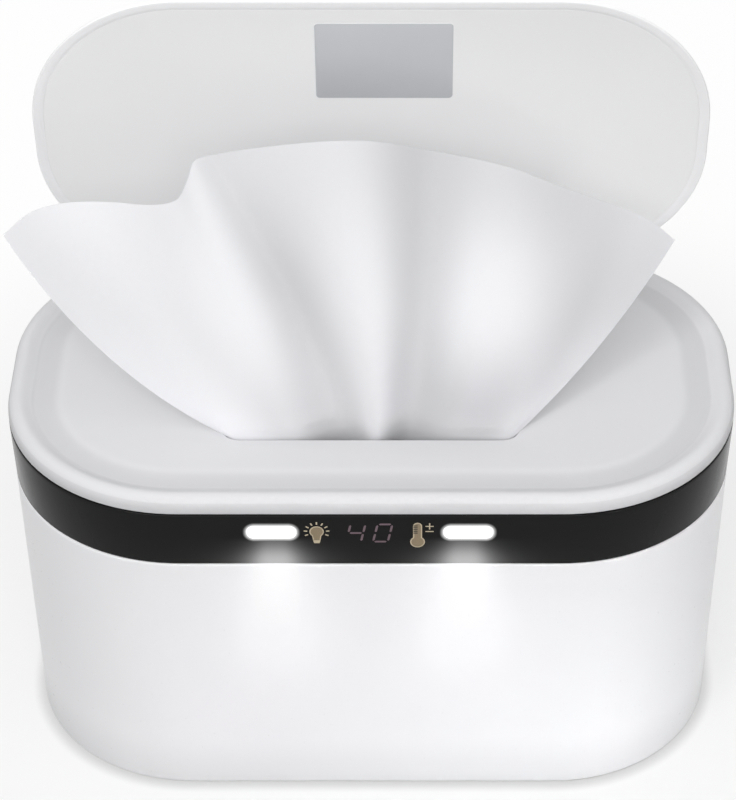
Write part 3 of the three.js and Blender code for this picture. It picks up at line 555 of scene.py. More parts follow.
window_growth = Vector((window_gap, cut_reach, window_gap))
for low, high in lens_boxes:
    cut(band, pill_block("window", low - window_growth, high + window_growth, lens_corner + window_gap))
say(band)

# %% [markdown]
# ## The deck
# The white top swings up for refilling. Its rim is a soft roll, then comes a shallow groove for the lid's
# edge and the flat middle. The same inset steps draw it: outwards to inwards on top, and on the
# underside a skirt, a hollow behind the rim and the rib that drops into the tank's mouth.

# %% The deck's body
deck_low_z = band_high.z + seam
deck_side = 1.8 * mm
rim_rise = 5.4 * mm
crest_inset = 3.4 * mm
lid_margin = 7.3 * mm
groove_inset = 8.2 * mm
groove_floor = 3.4 * mm
plateau_inset = 17.6 * mm
deck_step = 1.4 * mm
groove_depth = 0.5 * mm
deck_wall = 2.5 * mm
crest_z = deck_low_z + rim_rise
plateau_z = crest_z - deck_step
groove_z = plateau_z - groove_depth
under_z = plateau_z - deck_wall
deck_start = deck_low_z + edge_round
deck_shoulder = (0, deck_low_z + deck_side)
crest = (crest_inset, crest_z)
groove_end = (groove_inset + groove_floor, groove_z)
deck = rounded_block("deck_top", rim_size, rim_corner, deck_start, deck_low_z + deck_side)
follow(deck, 1, [
    deck_shoulder,
    *arc(deck_shoulder, crest, roll_steps),
    *soft_step(crest, (groove_inset, groove_z), roll_steps),
    groove_end,
    *soft_step(groove_end, (plateau_inset, plateau_z), roll_steps),
    (plateau_inset + mm, plateau_z),
])

# %% The deck's underside
skirt_wall = 2.2 * mm
hollow_roof_z = crest_z - 2.4 * mm
hollow_inset = 3.6 * mm
hollow_width = 1.6 * mm
hollow_slope = 3 * mm
rib_inset = waist_inset + 11.6 * mm
rib_thickness = 2.2 * mm
rib_low_z = deck_low_z - 6.8 * mm
rib_round = 0.8 * mm
follow(deck, -1, [
    (0, deck_start),
    *arc((0, deck_start), (edge_round, deck_low_z), edge_steps),
    (skirt_wall, deck_low_z),
    (skirt_wall + hair, hollow_roof_z - hollow_width),
    (hollow_inset, hollow_roof_z),
    (hollow_inset + hollow_width, hollow_roof_z),
    (hollow_inset + hollow_width + hollow_slope, under_z),
    (rib_inset, under_z),
    (rib_inset + hair, rib_low_z + rib_round),
    (rib_inset + rib_round, rib_low_z),
    (rib_inset + rib_thickness - rib_round, rib_low_z),
    (rib_inset + rib_thickness, rib_low_z + rib_round),
    (rib_inset + rib_thickness + hair, under_z),
])

# %% The dispensing slot
slot_size = (88 * mm, 22 * mm)
slot_corner = 5 * mm
slot_front_y = 30.45 * mm - rim_size[1] / 2
slot_lip = 0.9 * mm
slot_middle = (0, slot_front_y + slot_size[1] / 2)
flare = (-slot_lip, plateau_z + hair)
slot_cutter = rounded_block("slot_cutter", shrunk(slot_size, -slot_lip), slot_corner + slot_lip,
                            flare[1], plateau_z + slot_lip, slot_middle, steps=12)
follow(slot_cutter, -1, [
    flare,
    *arc(flare, (0, plateau_z - slot_lip), lip_steps, upright_first=False),
    (0, under_z - mm),
])
cut(deck, slot_cutter)
say(deck)

# %% [markdown]
# ## The lid
# The lid is modelled closed, where its outline is easy to set against the deck, and then turned open
# about its hinge. Its lower edge is a narrow rounded rim with a recess behind it, and the flat liner
# fills that recess: this soft border and flat face are what the picture shows.

# %% The lid's shell, closed
joints = {joint["name"]: joint for joint in frame["joints"]}
lid_axis = Vector(joints["lid_hinge"]["pos_m"])
deck_axis = Vector(joints["deck_hinge"]["pos_m"])
lid_open_angle = math.radians(80)
lid_rear_margin = 14.3 * mm
lid_size = (rim_size[0] - 2 * lid_margin, rim_size[1] - lid_margin - lid_rear_margin)
lid_corner = rim_corner - lid_margin
lid_front_y = lid_margin - rim_size[1] / 2
lid_middle = (0, lid_front_y + lid_size[1] / 2)
lid_edge_z = plateau_z + seam
lid_edge_round = 0.4 * mm
lid_side = 0.8 * mm
lid_side_z = lid_edge_z + lid_side
lid_start = lid_edge_z + lid_edge_round
dome_steps = 16
dome_end = (16 * mm, lid_side_z + 6.6 * mm)
crown_start = (32 * mm, lid_side_z + 7.2 * mm)
crown_end = (44 * mm, lid_side_z + 7.4 * mm)
lid_shell = rounded_block("lid_cover", lid_size, lid_corner, lid_start, lid_side_z, lid_middle)
follow(lid_shell, 1, [
    (0, lid_side_z),
    *dome((0, lid_side_z), dome_end, dome_steps),
    crown_start,
    crown_end,
])

# %% The lid's rim and recess
lid_rim_width = 2.5 * mm
lid_recess = 1.9 * mm
liner_sunk = 0.15 * mm
rim_ramp = 0.8 * mm
rim_ramp_steps = 8
rim_flat_end = (lid_rim_width - lid_edge_round, lid_edge_z)
rim_inner = (lid_rim_width + rim_ramp, lid_edge_z + liner_sunk)
follow(lid_shell, -1, [
    (0, lid_start),
    *arc((0, lid_start), (lid_edge_round, lid_edge_z), lip_steps),
    rim_flat_end,
    *soft_step(rim_flat_end, rim_inner, rim_ramp_steps),
    (rim_inner[0] + hair, lid_edge_z + lid_recess),
])
say(lid_shell)

# %% The liner and the blank label, closed
liner_gap = 0.03 * mm
liner_back_gap = 0.2 * mm
liner_low = lid_edge_z + liner_sunk
liner_round = 0.05 * mm
liner_slope = 1.6 * liner_round
liner_inset = rim_inner[0] + liner_gap
liner_start = liner_low + liner_round
lid_liner = rounded_block("lid_inner_face", shrunk(lid_size, liner_inset), lid_corner - liner_inset,
                          liner_start, lid_edge_z + lid_recess - liner_back_gap, lid_middle)
follow(lid_liner, -1, [
    (0, liner_start),
    *arc((0, liner_start), (liner_slope, liner_low), lip_steps),
    (3 * liner_round, liner_low),
])
label_size = (41 * mm, 29 * mm)
label_corner = 1.2 * mm
label_thickness = 0.25 * mm
label_stand = 0.15 * mm
label_edge = 0.05 * mm
label_middle = (4 * mm, lid_front_y + 22.9 * mm)
label_low = liner_low - label_stand
label = rounded_block("blank_label", label_size, label_corner, label_low,
                      label_low + label_thickness, label_middle, steps=8)
softened(label, label_edge, segments=2)
say(label)

# %% [markdown]
# ## The hinges
# Seen from behind, two short hinges join the housing and the deck, and two more under the lid's rear
# edge join the deck and the lid. Each is a barrel between two ears on a steel pin, with a root that
# runs into its shell.

# %% Barrels, ears and their roots
hinge_spacing = 92 * mm
barrel_radius = 2.6 * mm
barrel_width = 12 * mm
ear_width = 3 * mm
barrel_sides = 48
pin_hole_radius = 1.5 * mm
eye_edge = 0.25 * mm
washer_room = 1.2 * mm


def spans(side):
    """The barrel's and the two ears' (low x, high x), for the left (-1) or right (1) hinge."""
    middle = side * hinge_spacing / 2
    barrel = (middle - barrel_width / 2, middle + barrel_width / 2)
    left_ear = (barrel[0] - seam - ear_width, barrel[0] - seam)
    right_ear = (barrel[1] + seam, barrel[1] + seam + ear_width)
    return barrel, [left_ear, right_ear]


def hinge_eye(name, span, axis, root_low, root_high, reach=None):
    """A barrel round an axis, with a root block between two (y, z) corners, and a bore for the pin.
    With reach, the root's rear face is pulled out to that y, with (low, high) as its new heights."""
    width = span[1] - span[0]
    middle_x = (span[0] + span[1]) / 2
    round_place = {"location": (middle_x, axis.y, axis.z), "rotation": (0, math.pi / 2, 0)}
    eye = cylinder(barrel_radius, width, barrel_sides, **round_place)
    root = block((middle_x, (root_low[0] + root_high[0]) / 2, (root_low[1] + root_high[1]) / 2),
                 (width, root_high[0] - root_low[0], root_high[1] - root_low[1]))
    if reach:
        reach_y, (reach_low, reach_high) = reach
        reach_middle = (reach_low + reach_high) / 2
        begin_edit(root, "FACE")
        pick_faces(lambda middle, normal: normal.y > facing_limit)
        bpy.ops.mesh.extrude_region_move(TRANSFORM_OT_translate={
            "value": (0, reach_y - root_high[0], reach_middle - (root_low[1] + root_high[1]) / 2)})
        bpy.ops.transform.resize(
            value=(1, 1, (reach_high - reach_low) / (root_high[1] - root_low[1])),
            center_override=(middle_x, reach_y, reach_middle))
        end_edit()
    combine(eye, "UNION", root)
    cut(eye, cylinder(pin_hole_radius, 2 * width, barrel_sides, **round_place))
    softened(eye, eye_edge, segments=2)
    eye.name = eye.data.name = name
    return eye


# %% Where the hinges go
rear_y = rim_size[1] / 2
neck_y = rear_y - waist_inset - band_wall - seam
flange_thickness = 1.8 * mm
flange_top_z = band_high.z - seam
flange_low_z = flange_top_z - flange_thickness
neck_top_z = flange_low_z - seam
ear_root = 4.2 * mm
ear_sunk = 0.3 * mm
ear_reach_up = 0.05 * mm
barrel_root_rise = 2.2 * mm
lid_rear_y = lid_middle[1] + lid_size[1] / 2

# %% The hinge parts of the deck, the lid and the housing
deck_parts = [deck]
lid_parts = [lid_shell]
housing_parts = [housing]
for side in (-1, 1):
    barrel, ears = spans(side)
    deck_parts.append(hinge_eye("deck_barrel", barrel, deck_axis,
                                (rear_y - skirt_wall / 2, deck_low_z + seam),
                                (deck_axis.y, deck_axis.z + barrel_root_rise)))
    lid_parts.append(hinge_eye("lid_barrel", (barrel[0] + washer_room, barrel[1]), lid_axis,
                               (lid_rear_y - lid_rim_width, lid_axis.z - barrel_radius + seam),
                               (lid_axis.y, lid_axis.z)))
    for ear in ears:
        deck_parts.append(hinge_eye("lid_ear", ear, lid_axis,
                                    (lid_axis.y - barrel_radius, groove_z - ear_sunk),
                                    (lid_axis.y + barrel_radius, lid_axis.z)))
        housing_parts.append(hinge_eye("deck_ear", ear, deck_axis,
                                       (neck_y - mm, neck_top_z - seam - ear_root),
                                       (neck_y + seam, neck_top_z - seam),
                                       (deck_axis.y - mm, (deck_axis.z - barrel_radius + ear_reach_up,
                                                           deck_axis.z - mm))))
print("parts of the deck, the lid and the housing:", len(deck_parts), len(lid_parts), len(housing_parts))

# %% Hinge notches in the band
notch_gap = 0.6 * mm
notch_depth = 5 * mm
notch_low_z = neck_top_z - 2 * seam - ear_root
for side in (-1, 1):
    barrel, ears = spans(side)
    low_x = ears[0][0] - notch_gap
    high_x = ears[1][1] + notch_gap
    cut(band, block(((low_x + high_x) / 2, rear_y, band_high.z),
                    (high_x - low_x, notch_depth, 2 * (band_high.z - notch_low_z))))
say(band)

# %% [markdown]
# ## The neck, the power socket and the tank
# Behind the band the housing goes on as a thinner neck, which carries the tank's flange. The tank shows
# when the deck is lifted: a deep tub with slightly drawn-in sides and a rounded floor. A soft ring seals
# the gap between its flange and the deck. At the rear, low on the right, is the round socket for the
# power plug.

# %% The neck behind the band
neck_inset = waist_inset + band_wall + seam
neck_wall = 2 * mm
neck_low_z = waist_top - housing_wall
neck = rounded_block("housing_neck", shrunk(rim_size, neck_inset), rim_corner - neck_inset,
                     neck_low_z, neck_top_z)
open_ends(neck, neck_low_z, neck_top_z)
wall(neck, neck_wall)
housing_parts.append(neck)

# %% The tank
tank_low_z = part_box("wipe_tank")[0].z
tank_inset = waist_inset + 9.2 * mm
tank_wall = 2 * mm
tank_draft = 1.4 * mm
tank_roll = 6 * mm
mouth_edge = 0.6 * mm
tank_floor_top = tank_low_z + tank_wall
tank_mouth = tank_inset + tank_wall
mouth_start = (tank_mouth - mouth_edge, flange_top_z)
inner_foot = (tank_mouth + tank_draft, tank_floor_top + tank_roll - tank_wall)
outer_foot = (tank_inset + tank_draft, tank_low_z + tank_roll)
tank = rounded_block("tank_tub", shrunk(rim_size, neck_inset), rim_corner - neck_inset,
                     flange_low_z, flange_top_z)
follow(tank, 1, [
    (neck_inset, flange_top_z),
    mouth_start,
    *arc(mouth_start, (tank_mouth, flange_top_z - mouth_edge), edge_steps, upright_first=False),
    inner_foot,
    *arc(inner_foot, (inner_foot[0] + tank_roll - tank_wall, tank_floor_top), roll_steps),
    (inner_foot[0] + tank_roll, tank_floor_top),
])
follow(tank, -1, [
    (neck_inset, flange_low_z),
    (tank_inset, flange_low_z),
    outer_foot,
    *arc(outer_foot, (outer_foot[0] + tank_roll, tank_low_z), foot_steps),
])
say(tank)

# %% The soft seal under the deck
seal_low, seal_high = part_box("deck_seal")
seal_inset = waist_inset + 7.8 * mm
seal_width = 2.8 * mm
seal_edge = 0.35 * mm
seal = rounded_block("deck_seal_ring", shrunk(rim_size, seal_inset), rim_corner - seal_inset,
                     seal_low.z, seal_high.z)
open_ends(seal, seal_low.z, seal_high.z)
wall(seal, seal_width)
softened(seal, seal_edge)
say(seal)

# %% The power socket
inlet_low, inlet_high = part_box("dc_inlet")
inlet_middle = (inlet_low + inlet_high) / 2
socket_sides = 64
socket_radius = 4.8 * mm
socket_lip_radius = 6.2 * mm
socket_lip = 1.2 * mm
socket_bore = 3.3 * mm
socket_depth = 9 * mm
socket_pin_radius = mm
socket_pin_length = 2.6 * mm
mouth_round = 0.4 * mm


def turned(name, radius, length, profile=((0, 0),), sides=socket_sides):
    """A turned part on the Z axis: a cylinder from 0 down to -length whose top is inset along
    (inset, height) pairs."""
    piece = cylinder(radius, length, sides, (0, 0, -length / 2))
    piece.name = piece.data.name = name
    follow(piece, 1, profile)
    return piece


bore_inset = socket_lip_radius - socket_bore
pin_inset = socket_lip_radius - socket_pin_radius
bore_low = mouth_round - socket_depth
socket_face = turned("socket_face", socket_lip_radius, socket_lip - mouth_round, [
    (0, 0),
    *arc((0, 0), (mouth_round, mouth_round), edge_steps),
    (bore_inset - mouth_round, mouth_round),
    *arc((bore_inset - mouth_round, mouth_round), (bore_inset, 0), edge_steps, upright_first=False),
    (bore_inset + hair / 2, bore_low),
    (pin_inset, bore_low),
    (pin_inset + hair / 2, bore_low + socket_pin_length - mouth_round),
    (pin_inset + mouth_round, bore_low + socket_pin_length),
])

# %% The socket's body, and its hole in the housing
face_gap = 0.05 * mm
bore_gap = 0.2 * mm
hole_length = 12 * mm
turn_rear = Matrix.Rotation(math.radians(-90), 4, "X")
socket_body = turned("socket_body", socket_radius, inlet_high.y - inlet_low.y - socket_lip)
place_at(socket_body, Matrix.Translation((0, 0, mouth_round - socket_lip - face_gap)))
socket_room = turned("socket_room", socket_bore + bore_gap, socket_depth)
place_at(socket_room, Matrix.Translation((0, 0, mouth_round - face_gap - hair / 2)))
cut(socket_body, socket_room)
socket = joined("power_socket", socket_face, socket_body)
place_at(socket, Matrix.Translation(
    (inlet_middle.x, inlet_high.y - mouth_round, inlet_middle.z)) @ turn_rear)
socket_hole = turned("socket_hole", socket_radius + seam, hole_length)
place_at(socket_hole, Matrix.Translation((inlet_middle.x, inlet_high.y + mm, inlet_middle.z)) @ turn_rear)
cut(housing, socket_hole)
say(socket)

# %% [markdown]
# ## Feet and base screws
# Underneath, four rubber feet stand in shallow pockets of the base plate, and four cross-head screws sit
# in their wells. Each is modelled once and copied, and every copy has its own mesh.

# %% Feet
places = [f"{end}_{side}" for end in ("front", "rear") for side in ("left", "right")]
foot_nodes = [f"foot_{place}" for place in places]
foot_low, foot_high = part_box(foot_nodes[0])
foot_radius = (foot_high.x - foot_low.x) / 2
foot_round = 0.5 * mm
foot_hollow = 0.25 * mm
hollow_start_share = 0.7
hollow_floor_share = 0.75
foot_model = turned("foot", foot_radius, foot_high.z - foot_low.z - foot_round, [
    (0, 0),
    *arc((0, 0), (foot_round, foot_round), edge_steps),
    (foot_radius * hollow_start_share, foot_round),
    (foot_radius * hollow_floor_share, foot_round - foot_hollow),
])
upside_down = Matrix.Rotation(math.pi, 4, "X")


def copies_under(model, height, prefix, nodes):
    """Copies of a model with their own meshes, upside down where the nodes are; the model goes."""
    copies = []
    for node in nodes:
        low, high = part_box(node)
        piece = model.copy()
        piece.data = model.data.copy()
        piece.name = piece.data.name = f"{prefix}{node}"
        bpy.context.collection.objects.link(piece)
        centre = ((low.x + high.x) / 2, (low.y + high.y) / 2, low.z + height)
        place_at(piece, Matrix.Translation(centre) @ upside_down)
        copies.append(piece)
    bpy.data.objects.remove(model)
    print(f"{len(copies)} copies, the first is {copies[0].name}")
    return copies


feet = copies_under(foot_model, foot_round, "rubber_", foot_nodes)

# %% Base screws
screw_nodes = [f"base_screw_{place}" for place in places]
screw_low, screw_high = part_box(screw_nodes[0])
head_radius = 3.1 * mm
head_height = 1.9 * mm
head_round = 0.8 * mm
head_slope = 1.6 * head_round
shank_radius = 1.45 * mm
cross_length = 3.4 * mm
cross_width = 0.75 * mm
cross_depth = 1.1 * mm
shank_sides = 32
screw_head = turned("screw", head_radius, head_height - head_round, [
    (0, 0),
    *arc((0, 0), (head_slope, head_round), lip_steps),
])
for across, along in ((cross_length, cross_width), (cross_width, cross_length)):
    cut(screw_head, block((0, 0, head_round), (across, along, 2 * cross_depth)))
shank = turned("shank", shank_radius, screw_high.z - screw_low.z - head_height, sides=shank_sides)
place_at(shank, Matrix.Translation((0, 0, head_round - head_height)))
screw_model = joined("screw", screw_head, shank)
screws = copies_under(screw_model, head_round, "cross_head_", screw_nodes)

# %% [markdown]
# ## Night lights and display
# Two milky bars shine through the band. Between them are a lamp sign, a two-digit temperature and a
# thermometer with plus and minus, all printed flat behind the gloss. They are drawn flat, a few
# hundredths of a millimetre thick, and laid on the band's slightly leaning front.

# %% Light bars
bar_edge = 0.3 * mm
light_bars = []
for name, (low, high) in zip(("left", "right"), lens_boxes):
    bar = pill_block(f"light_bar_{name}", low, high, lens_corner)
    softened(bar, bar_edge)
    light_bars.append(bar)
    say(bar)

# %% Signs on the band
lean_low = band_low.z + band_round
lean_high = band_start - mm
band_lean = math.atan2(waist_inset, lean_high - lean_low)
sign_thickness = 0.06 * mm
line_lift = 0.02 * mm
fill_lift = 0.04 * mm
tick_lift = 0.06 * mm
circle_steps = 28


def on_band(x, z, lift):
    """The matrix that lays a flat drawing (x right, y up, z towards the viewer) on the band's front."""
    share = (z - lean_low) / (lean_high - lean_low)
    front_y = -rim_size[1] / 2 + waist_inset * (1 - share) - lift
    return Matrix.Translation((x, front_y, z)) @ Matrix.Rotation(math.pi / 2 + band_lean, 4, "X")


def flat_sign(name, outlines, x, z, lift=line_lift):
    """A thin flat piece from closed outlines of (x, y) points, laid on the band."""
    mesh = bpy.data.meshes.new(name)
    drawing = bmesh.new()
    for outline in outlines:
        drawing.faces.new([drawing.verts.new((*point, 0)) for point in outline])
    drawing.to_mesh(mesh)
    drawing.free()
    piece = bpy.data.objects.new(name, mesh)
    bpy.context.collection.objects.link(piece)
    begin_edit(piece, "FACE")
    bpy.ops.mesh.select_all(action="SELECT")
    bpy.ops.mesh.normals_make_consistent(inside=False)
    bpy.ops.mesh.extrude_region_move(TRANSFORM_OT_translate={"value": (0, 0, -sign_thickness)})
    bpy.ops.mesh.select_all(action="SELECT")
    bpy.ops.mesh.normals_make_consistent(inside=False)
    end_edit()
    place_at(piece, on_band(x, z, lift))
    return piece


def arc_points(middle, radius, start_deg, end_deg, steps):
    """Points round a circle from one angle to another."""
    angles = [math.radians(start_deg + (end_deg - start_deg) * step / steps) for step in range(steps + 1)]
    return [(middle[0] + radius * math.cos(angle), middle[1] + radius * math.sin(angle))
            for angle in angles]


def bar_points(start, end, width):
    """A straight stroke with square ends."""
    start, end = Vector(start), Vector(end)
    along = (end - start).normalized()
    across = Vector((-along.y, along.x)) * width / 2
    return [start + across, start - across, end - across, end + across]


# %% The lamp sign
lamp_x = -15.5 * mm
lamp_z = 105.3 * mm
globe_radius = 2.1 * mm
sign_line = 0.32 * mm
neck_half = 1.1 * mm
neck_bottom = -3.2 * mm
cap_top = neck_bottom - 0.12 * mm
cap_bottom = -4.5 * mm
cap_half = 0.8 * mm
globe_arc_deg = (-50, 230)
ray_count = 9
ray_step_deg = 28.5
ray_start = 2.75 * mm
ray_end = 3.75 * mm
ray_width = 0.42 * mm


def lamp_outline(shrink):
    """The globe and its neck as one outline, drawn in by an amount."""
    return [*arc_points((0, 0), globe_radius - shrink, *globe_arc_deg, circle_steps),
            (-neck_half + shrink, neck_bottom), (neck_half - shrink, neck_bottom)]


lamp_cap = [(-neck_half, cap_top), (-cap_half, cap_bottom), (cap_half, cap_bottom), (neck_half, cap_top)]
rays = []
for count in range(ray_count):
    angle = math.radians(90 + (count - (ray_count - 1) / 2) * ray_step_deg)
    ray = Vector((math.cos(angle), math.sin(angle)))
    rays.append(bar_points(ray * ray_start, ray * ray_end, ray_width))
signs_light = [flat_sign("lamp_sign_line", [lamp_outline(0), lamp_cap, *rays], lamp_x, lamp_z)]
signs_fill = [flat_sign("lamp_sign_fill", [lamp_outline(sign_line)], lamp_x, lamp_z, fill_lift)]

# %% The thermometer sign
gauge_x = 13.9 * mm
gauge_z = 101.3 * mm
gauge_bulb = 2.15 * mm
gauge_half = 1.3 * mm
gauge_top = 6.2 * mm
tick_count = 5
tick_first = 6.3 * mm
tick_step = 0.7 * mm
tick_length = 1.2 * mm
tick_width = 0.38 * mm
tick_x = 0.1 * mm - gauge_half
plus_x = 17.4 * mm
plus_z = 107.4 * mm
minus_z = 105.4 * mm
plus_half = 1.2 * mm
plus_width = 0.34 * mm


def gauge_outline(shrink):
    """The bulb and the tube as one outline, drawn in by an amount."""
    half = gauge_half - shrink
    bulb = gauge_bulb - shrink
    join_deg = math.degrees(math.acos(half / bulb))
    return [*arc_points((0, 0), bulb, 180 - join_deg, 360 + join_deg, circle_steps),
            *arc_points((0, gauge_top), half, 0, 180, circle_steps // 2)]


tick_heights = [tick_first - count * tick_step for count in range(tick_count)]
ticks = [bar_points((tick_x, height), (tick_x + tick_length, height), tick_width)
         for height in tick_heights]
signs_light.append(flat_sign("gauge_sign_line", [gauge_outline(0)], gauge_x, gauge_z))
signs_fill.append(flat_sign("gauge_sign_fill", [gauge_outline(sign_line)], gauge_x, gauge_z, fill_lift))
sign_ticks = flat_sign("gauge_sign_ticks", ticks, gauge_x, gauge_z, tick_lift)
level_bar = bar_points((-plus_half, 0), (plus_half, 0), plus_width)
upright_bar = bar_points((0, -plus_half), (0, plus_half), plus_width)
for name, bar, z in (("plus_sign", level_bar, plus_z), ("plus_sign_upright", upright_bar, plus_z),
                     ("minus_sign", level_bar, minus_z)):
    signs_light.append(flat_sign(name, [bar], plus_x, z))

# %% The two digits
digit_width = 4.3 * mm
digit_height = 6.8 * mm
digit_slant = 0.2
segment_width = 0.64 * mm
segment_gap = 0.35 * mm
digits_z = 104.8 * mm
digit_places = {"4": -4.1 * mm, "0": 3.75 * mm}
lit_segments = {"4": ("upper_left", "upper_right", "middle", "lower_right"),
                "0": ("top", "upper_left", "upper_right", "lower_left", "lower_right", "bottom")}


def segment_points(start, end):
    """One bar of a seven-segment digit, pointed at both ends and slanted to the right."""
    along = (Vector(end) - Vector(start)).normalized()
    across = Vector((-along.y, along.x)) * segment_width / 2
    tip = along * segment_width / 2
    first = Vector(start) + along * segment_gap
    last = Vector(end) - along * segment_gap
    points = [first, first + tip + across, last - tip + across, last, last - tip - across,
              first + tip - across]
    return [(point.x + point.y * digit_slant, point.y) for point in points]


def digit_sign(digit):
    """The lit bars of a digit; each bar joins two of the six points of its frame."""
    right, top = digit_width / 2, digit_height / 2
    segments = {
        "top": ((-right, top), (right, top)),
        "middle": ((-right, 0), (right, 0)),
        "bottom": ((-right, -top), (right, -top)),
        "upper_left": ((-right, 0), (-right, top)),
        "upper_right": ((right, 0), (right, top)),
        "lower_left": ((-right, -top), (-right, 0)),
        "lower_right": ((right, -top), (right, 0)),
    }
    bars = [segment_points(*segments[name]) for name in lit_segments[digit]]
    return flat_sign(f"digit_{digit}", bars, digit_places[digit], digits_z)


digits = [digit_sign(digit) for digit in digit_places]
print("signs:", [sign.name for sign in (*signs_light, *signs_fill, sign_ticks, *digits)])

# %% [markdown]
# ## The wipe
# A soft, slightly damp cloth that has been pulled up through the slot. The slot gathers it into a few deep
# folds, and above the slot it fans out under its own stiffness. Its folds are easiest to place on ribs
# that run from the slot to the cloth's top edge: each rib is set where the picture shows it and given a
# depth, and the cloth is a fine grid whose points are moved onto the smooth surface through the ribs.

# %% Ribs of the wipe
lens_axis_px = (photo_width_px / 2 + aside_px, photo_height_px / 2)


def seen_at(px, py, depth_y):
    """The point on the upright plane y = depth_y that the picture shows at a pixel."""
    ray = (camera_right * ((px - lens_axis_px[0]) / focal_px)
           + camera_up * ((lens_axis_px[1] - py) / focal_px) - toward_camera)
    start = camera.location
    return start + ray * ((depth_y - start.y) / ray.y)


# For each rib from left to right: its place along the slot and its fold's depth there in mm behind the
# slot's front edge, then the pixel and the depth (y in mm) of its middle and of its top end, and last how
# much painted fold shade the cloth gets at those three places, from 0 (none, on a ridge) to 1 (the most,
# in the bottom of a fold).
wipe_ribs = [
    ((224.5, 2.9), (105, 354, -20), (3, 235, -8), (0.05, 0, 0)),
    ((230.5, 0.95), (128, 336, -22.5), (30, 213, -9), (0.1, 0.05, 0)),
    ((240, 0.4), (152, 326, -24.5), (65, 203, -10), (0.2, 0.15, 0.1)),
    ((254, 0.4), (178, 320, -25.5), (108, 202, -11), (0.3, 0.3, 0.3)),
    ((269, 0.4), (201, 317, -26.5), (150, 205, -12.5), (0.45, 0.25, 0.45)),
    ((284, 0.5), (222, 313, -27), (176, 200, -14), (0.6, 0.1, 0.3)),
    ((298, 0.8), (241, 309, -27), (187, 181, -14), (0.6, 0.1, 0.2)),
    ((311, 2.2), (258, 305, -25), (193, 163, -12), (0.7, 0.3, 0.35)),
    ((325, 4.5), (274, 300, -21.5), (203, 157, -9.5), (0.8, 0.65, 0.55)),
    ((342, 6), (291, 297, -19), (216, 154.5, -8.5), (0.74, 0.85, 0.5)),
    ((357, 4.5), (312, 294, -21.5), (244, 150, -9.5), (0.7, 0.65, 0.4)),
    ((368, 2), (338, 292, -25), (284, 145, -11.5), (0.5, 0.25, 0.4)),
    ((378, 0.8), (366, 291, -27), (326, 141.5, -13), (0.5, 0.1, 0.4)),
    ((388, 2.5), (388, 291, -25.5), (366, 141, -12), (0.7, 0.3, 0.45)),
    ((398, 5), (407, 292, -21), (402, 145, -9), (0.8, 0.65, 0.75)),
    ((409, 6.5), (425, 294, -18.5), (428, 150, -6.5), (1, 0.75, 0.75)),
    ((421, 5), (443, 297, -21), (454, 155, -8), (1, 0.5, 0.7)),
    ((437, 2), (466, 301, -26), (484, 161, -11), (1, 0.15, 0.6)),
    ((457, 0.7), (497, 307, -28), (518, 170, -12), (1, 0.1, 0.6)),
    ((477, 0.4), (530, 315, -28), (560, 186, -11), (1, 0.25, 0.65)),
    ((497, 0.4), (561, 325, -24), (612, 204, -6), (0.6, 0.5, 0.5)),
    ((507, 0.75), (582, 334, -18), (648, 219, 0), (0.4, 0.25, 0)),
    ((513.5, 1.9), (600, 345, -11), (675, 240, 4), (0.3, 0.1, 0)),
]
slot_px_middle = 370.5
slot_px_per_mm = 3.367
slot_row, middle_row, top_row, fold_shade_row = zip(*wipe_ribs)


def between_ribs(values, share):
    """The four neighbours of a place across the ribs, and how far it lies between the middle two."""
    place = share * (len(values) - 1)
    first = min(int(place), len(values) - 2)
    start, end = values[first], values[first + 1]
    before = values[first - 1] if first > 0 else 2 * start - end
    after = values[first + 2] if first + 2 < len(values) else 2 * end - start
    return before, start, end, after, place - first


def through(values, share):
    """A curve that passes through every value (Catmull-Rom): it keeps the outline."""
    before, start, end, after, t = between_ribs(values, share)
    return 0.5 * (2 * start + (end - before) * t + (2 * before - 5 * start + 4 * end - after) * t ** 2
                  + (3 * start - before - 3 * end + after) * t ** 3)


def softly(values, share):
    """A curve that only leans towards the values (a cubic B-spline): it keeps the folds round."""
    before, start, end, after, t = between_ribs(values, share)
    return (before * (1 - t) ** 3 + start * (3 * t ** 3 - 6 * t ** 2 + 4)
            + end * (3 * t * t * (1 - t) + 3 * t + 1) + after * t ** 3) / 6


def rib_point(row, across):
    """Where a row of the ribs passes, for a share across the cloth."""
    seen_x, seen_y, depth = zip(*row)
    return seen_at(through(seen_x, across), through(seen_y, across), softly(depth, across) * mm)


# %% The cloth's shape
tail_depth = 12 * mm
tail_share = 0.86
cloth_low_z = plateau_z - slot_lip
slot_centre = Vector((0, slot_middle[1] - slot_size[1] / 4, cloth_low_z))


def wipe_point(across, up):
    """A point of the cloth: across from 0 (left) to 1, up from 0 in the slot to 1 at the top edge."""
    slot_x, fold = zip(*slot_row)
    low = Vector(((through(slot_x, across) - slot_px_middle) / slot_px_per_mm * mm,
                  slot_front_y + softly(fold, across) * mm, cloth_low_z))
    if up < 0:
        drawn_in = slot_centre + (low - slot_centre) * (1 + up * (1 - tail_share))
        return drawn_in + Vector((0, 0, up * tail_depth))
    middle = rib_point(middle_row, across)
    top = rib_point(top_row, across)
    bend = 2 * middle - (low + top) / 2
    return low * (1 - up) ** 2 + bend * 2 * up * (1 - up) + top * up ** 2


def fold_shade_share(across, up):
    """How much painted fold shade the cloth gets, from 0 to 1, at a place on it."""
    low, middle, top = (softly(values, across) for values in zip(*fold_shade_row))
    rise = max(up, 0)
    start, end = (low, middle) if rise < 0.5 else (middle, top)
    share = rise * 2 % 1 if rise < 1 else 1
    return start + (end - start) * share * share * (3 - 2 * share)


print("the wipe's top edge reaches",
      round(max(rib_point(top_row, step / 20).z for step in range(21)) / mm, 1), "mm")


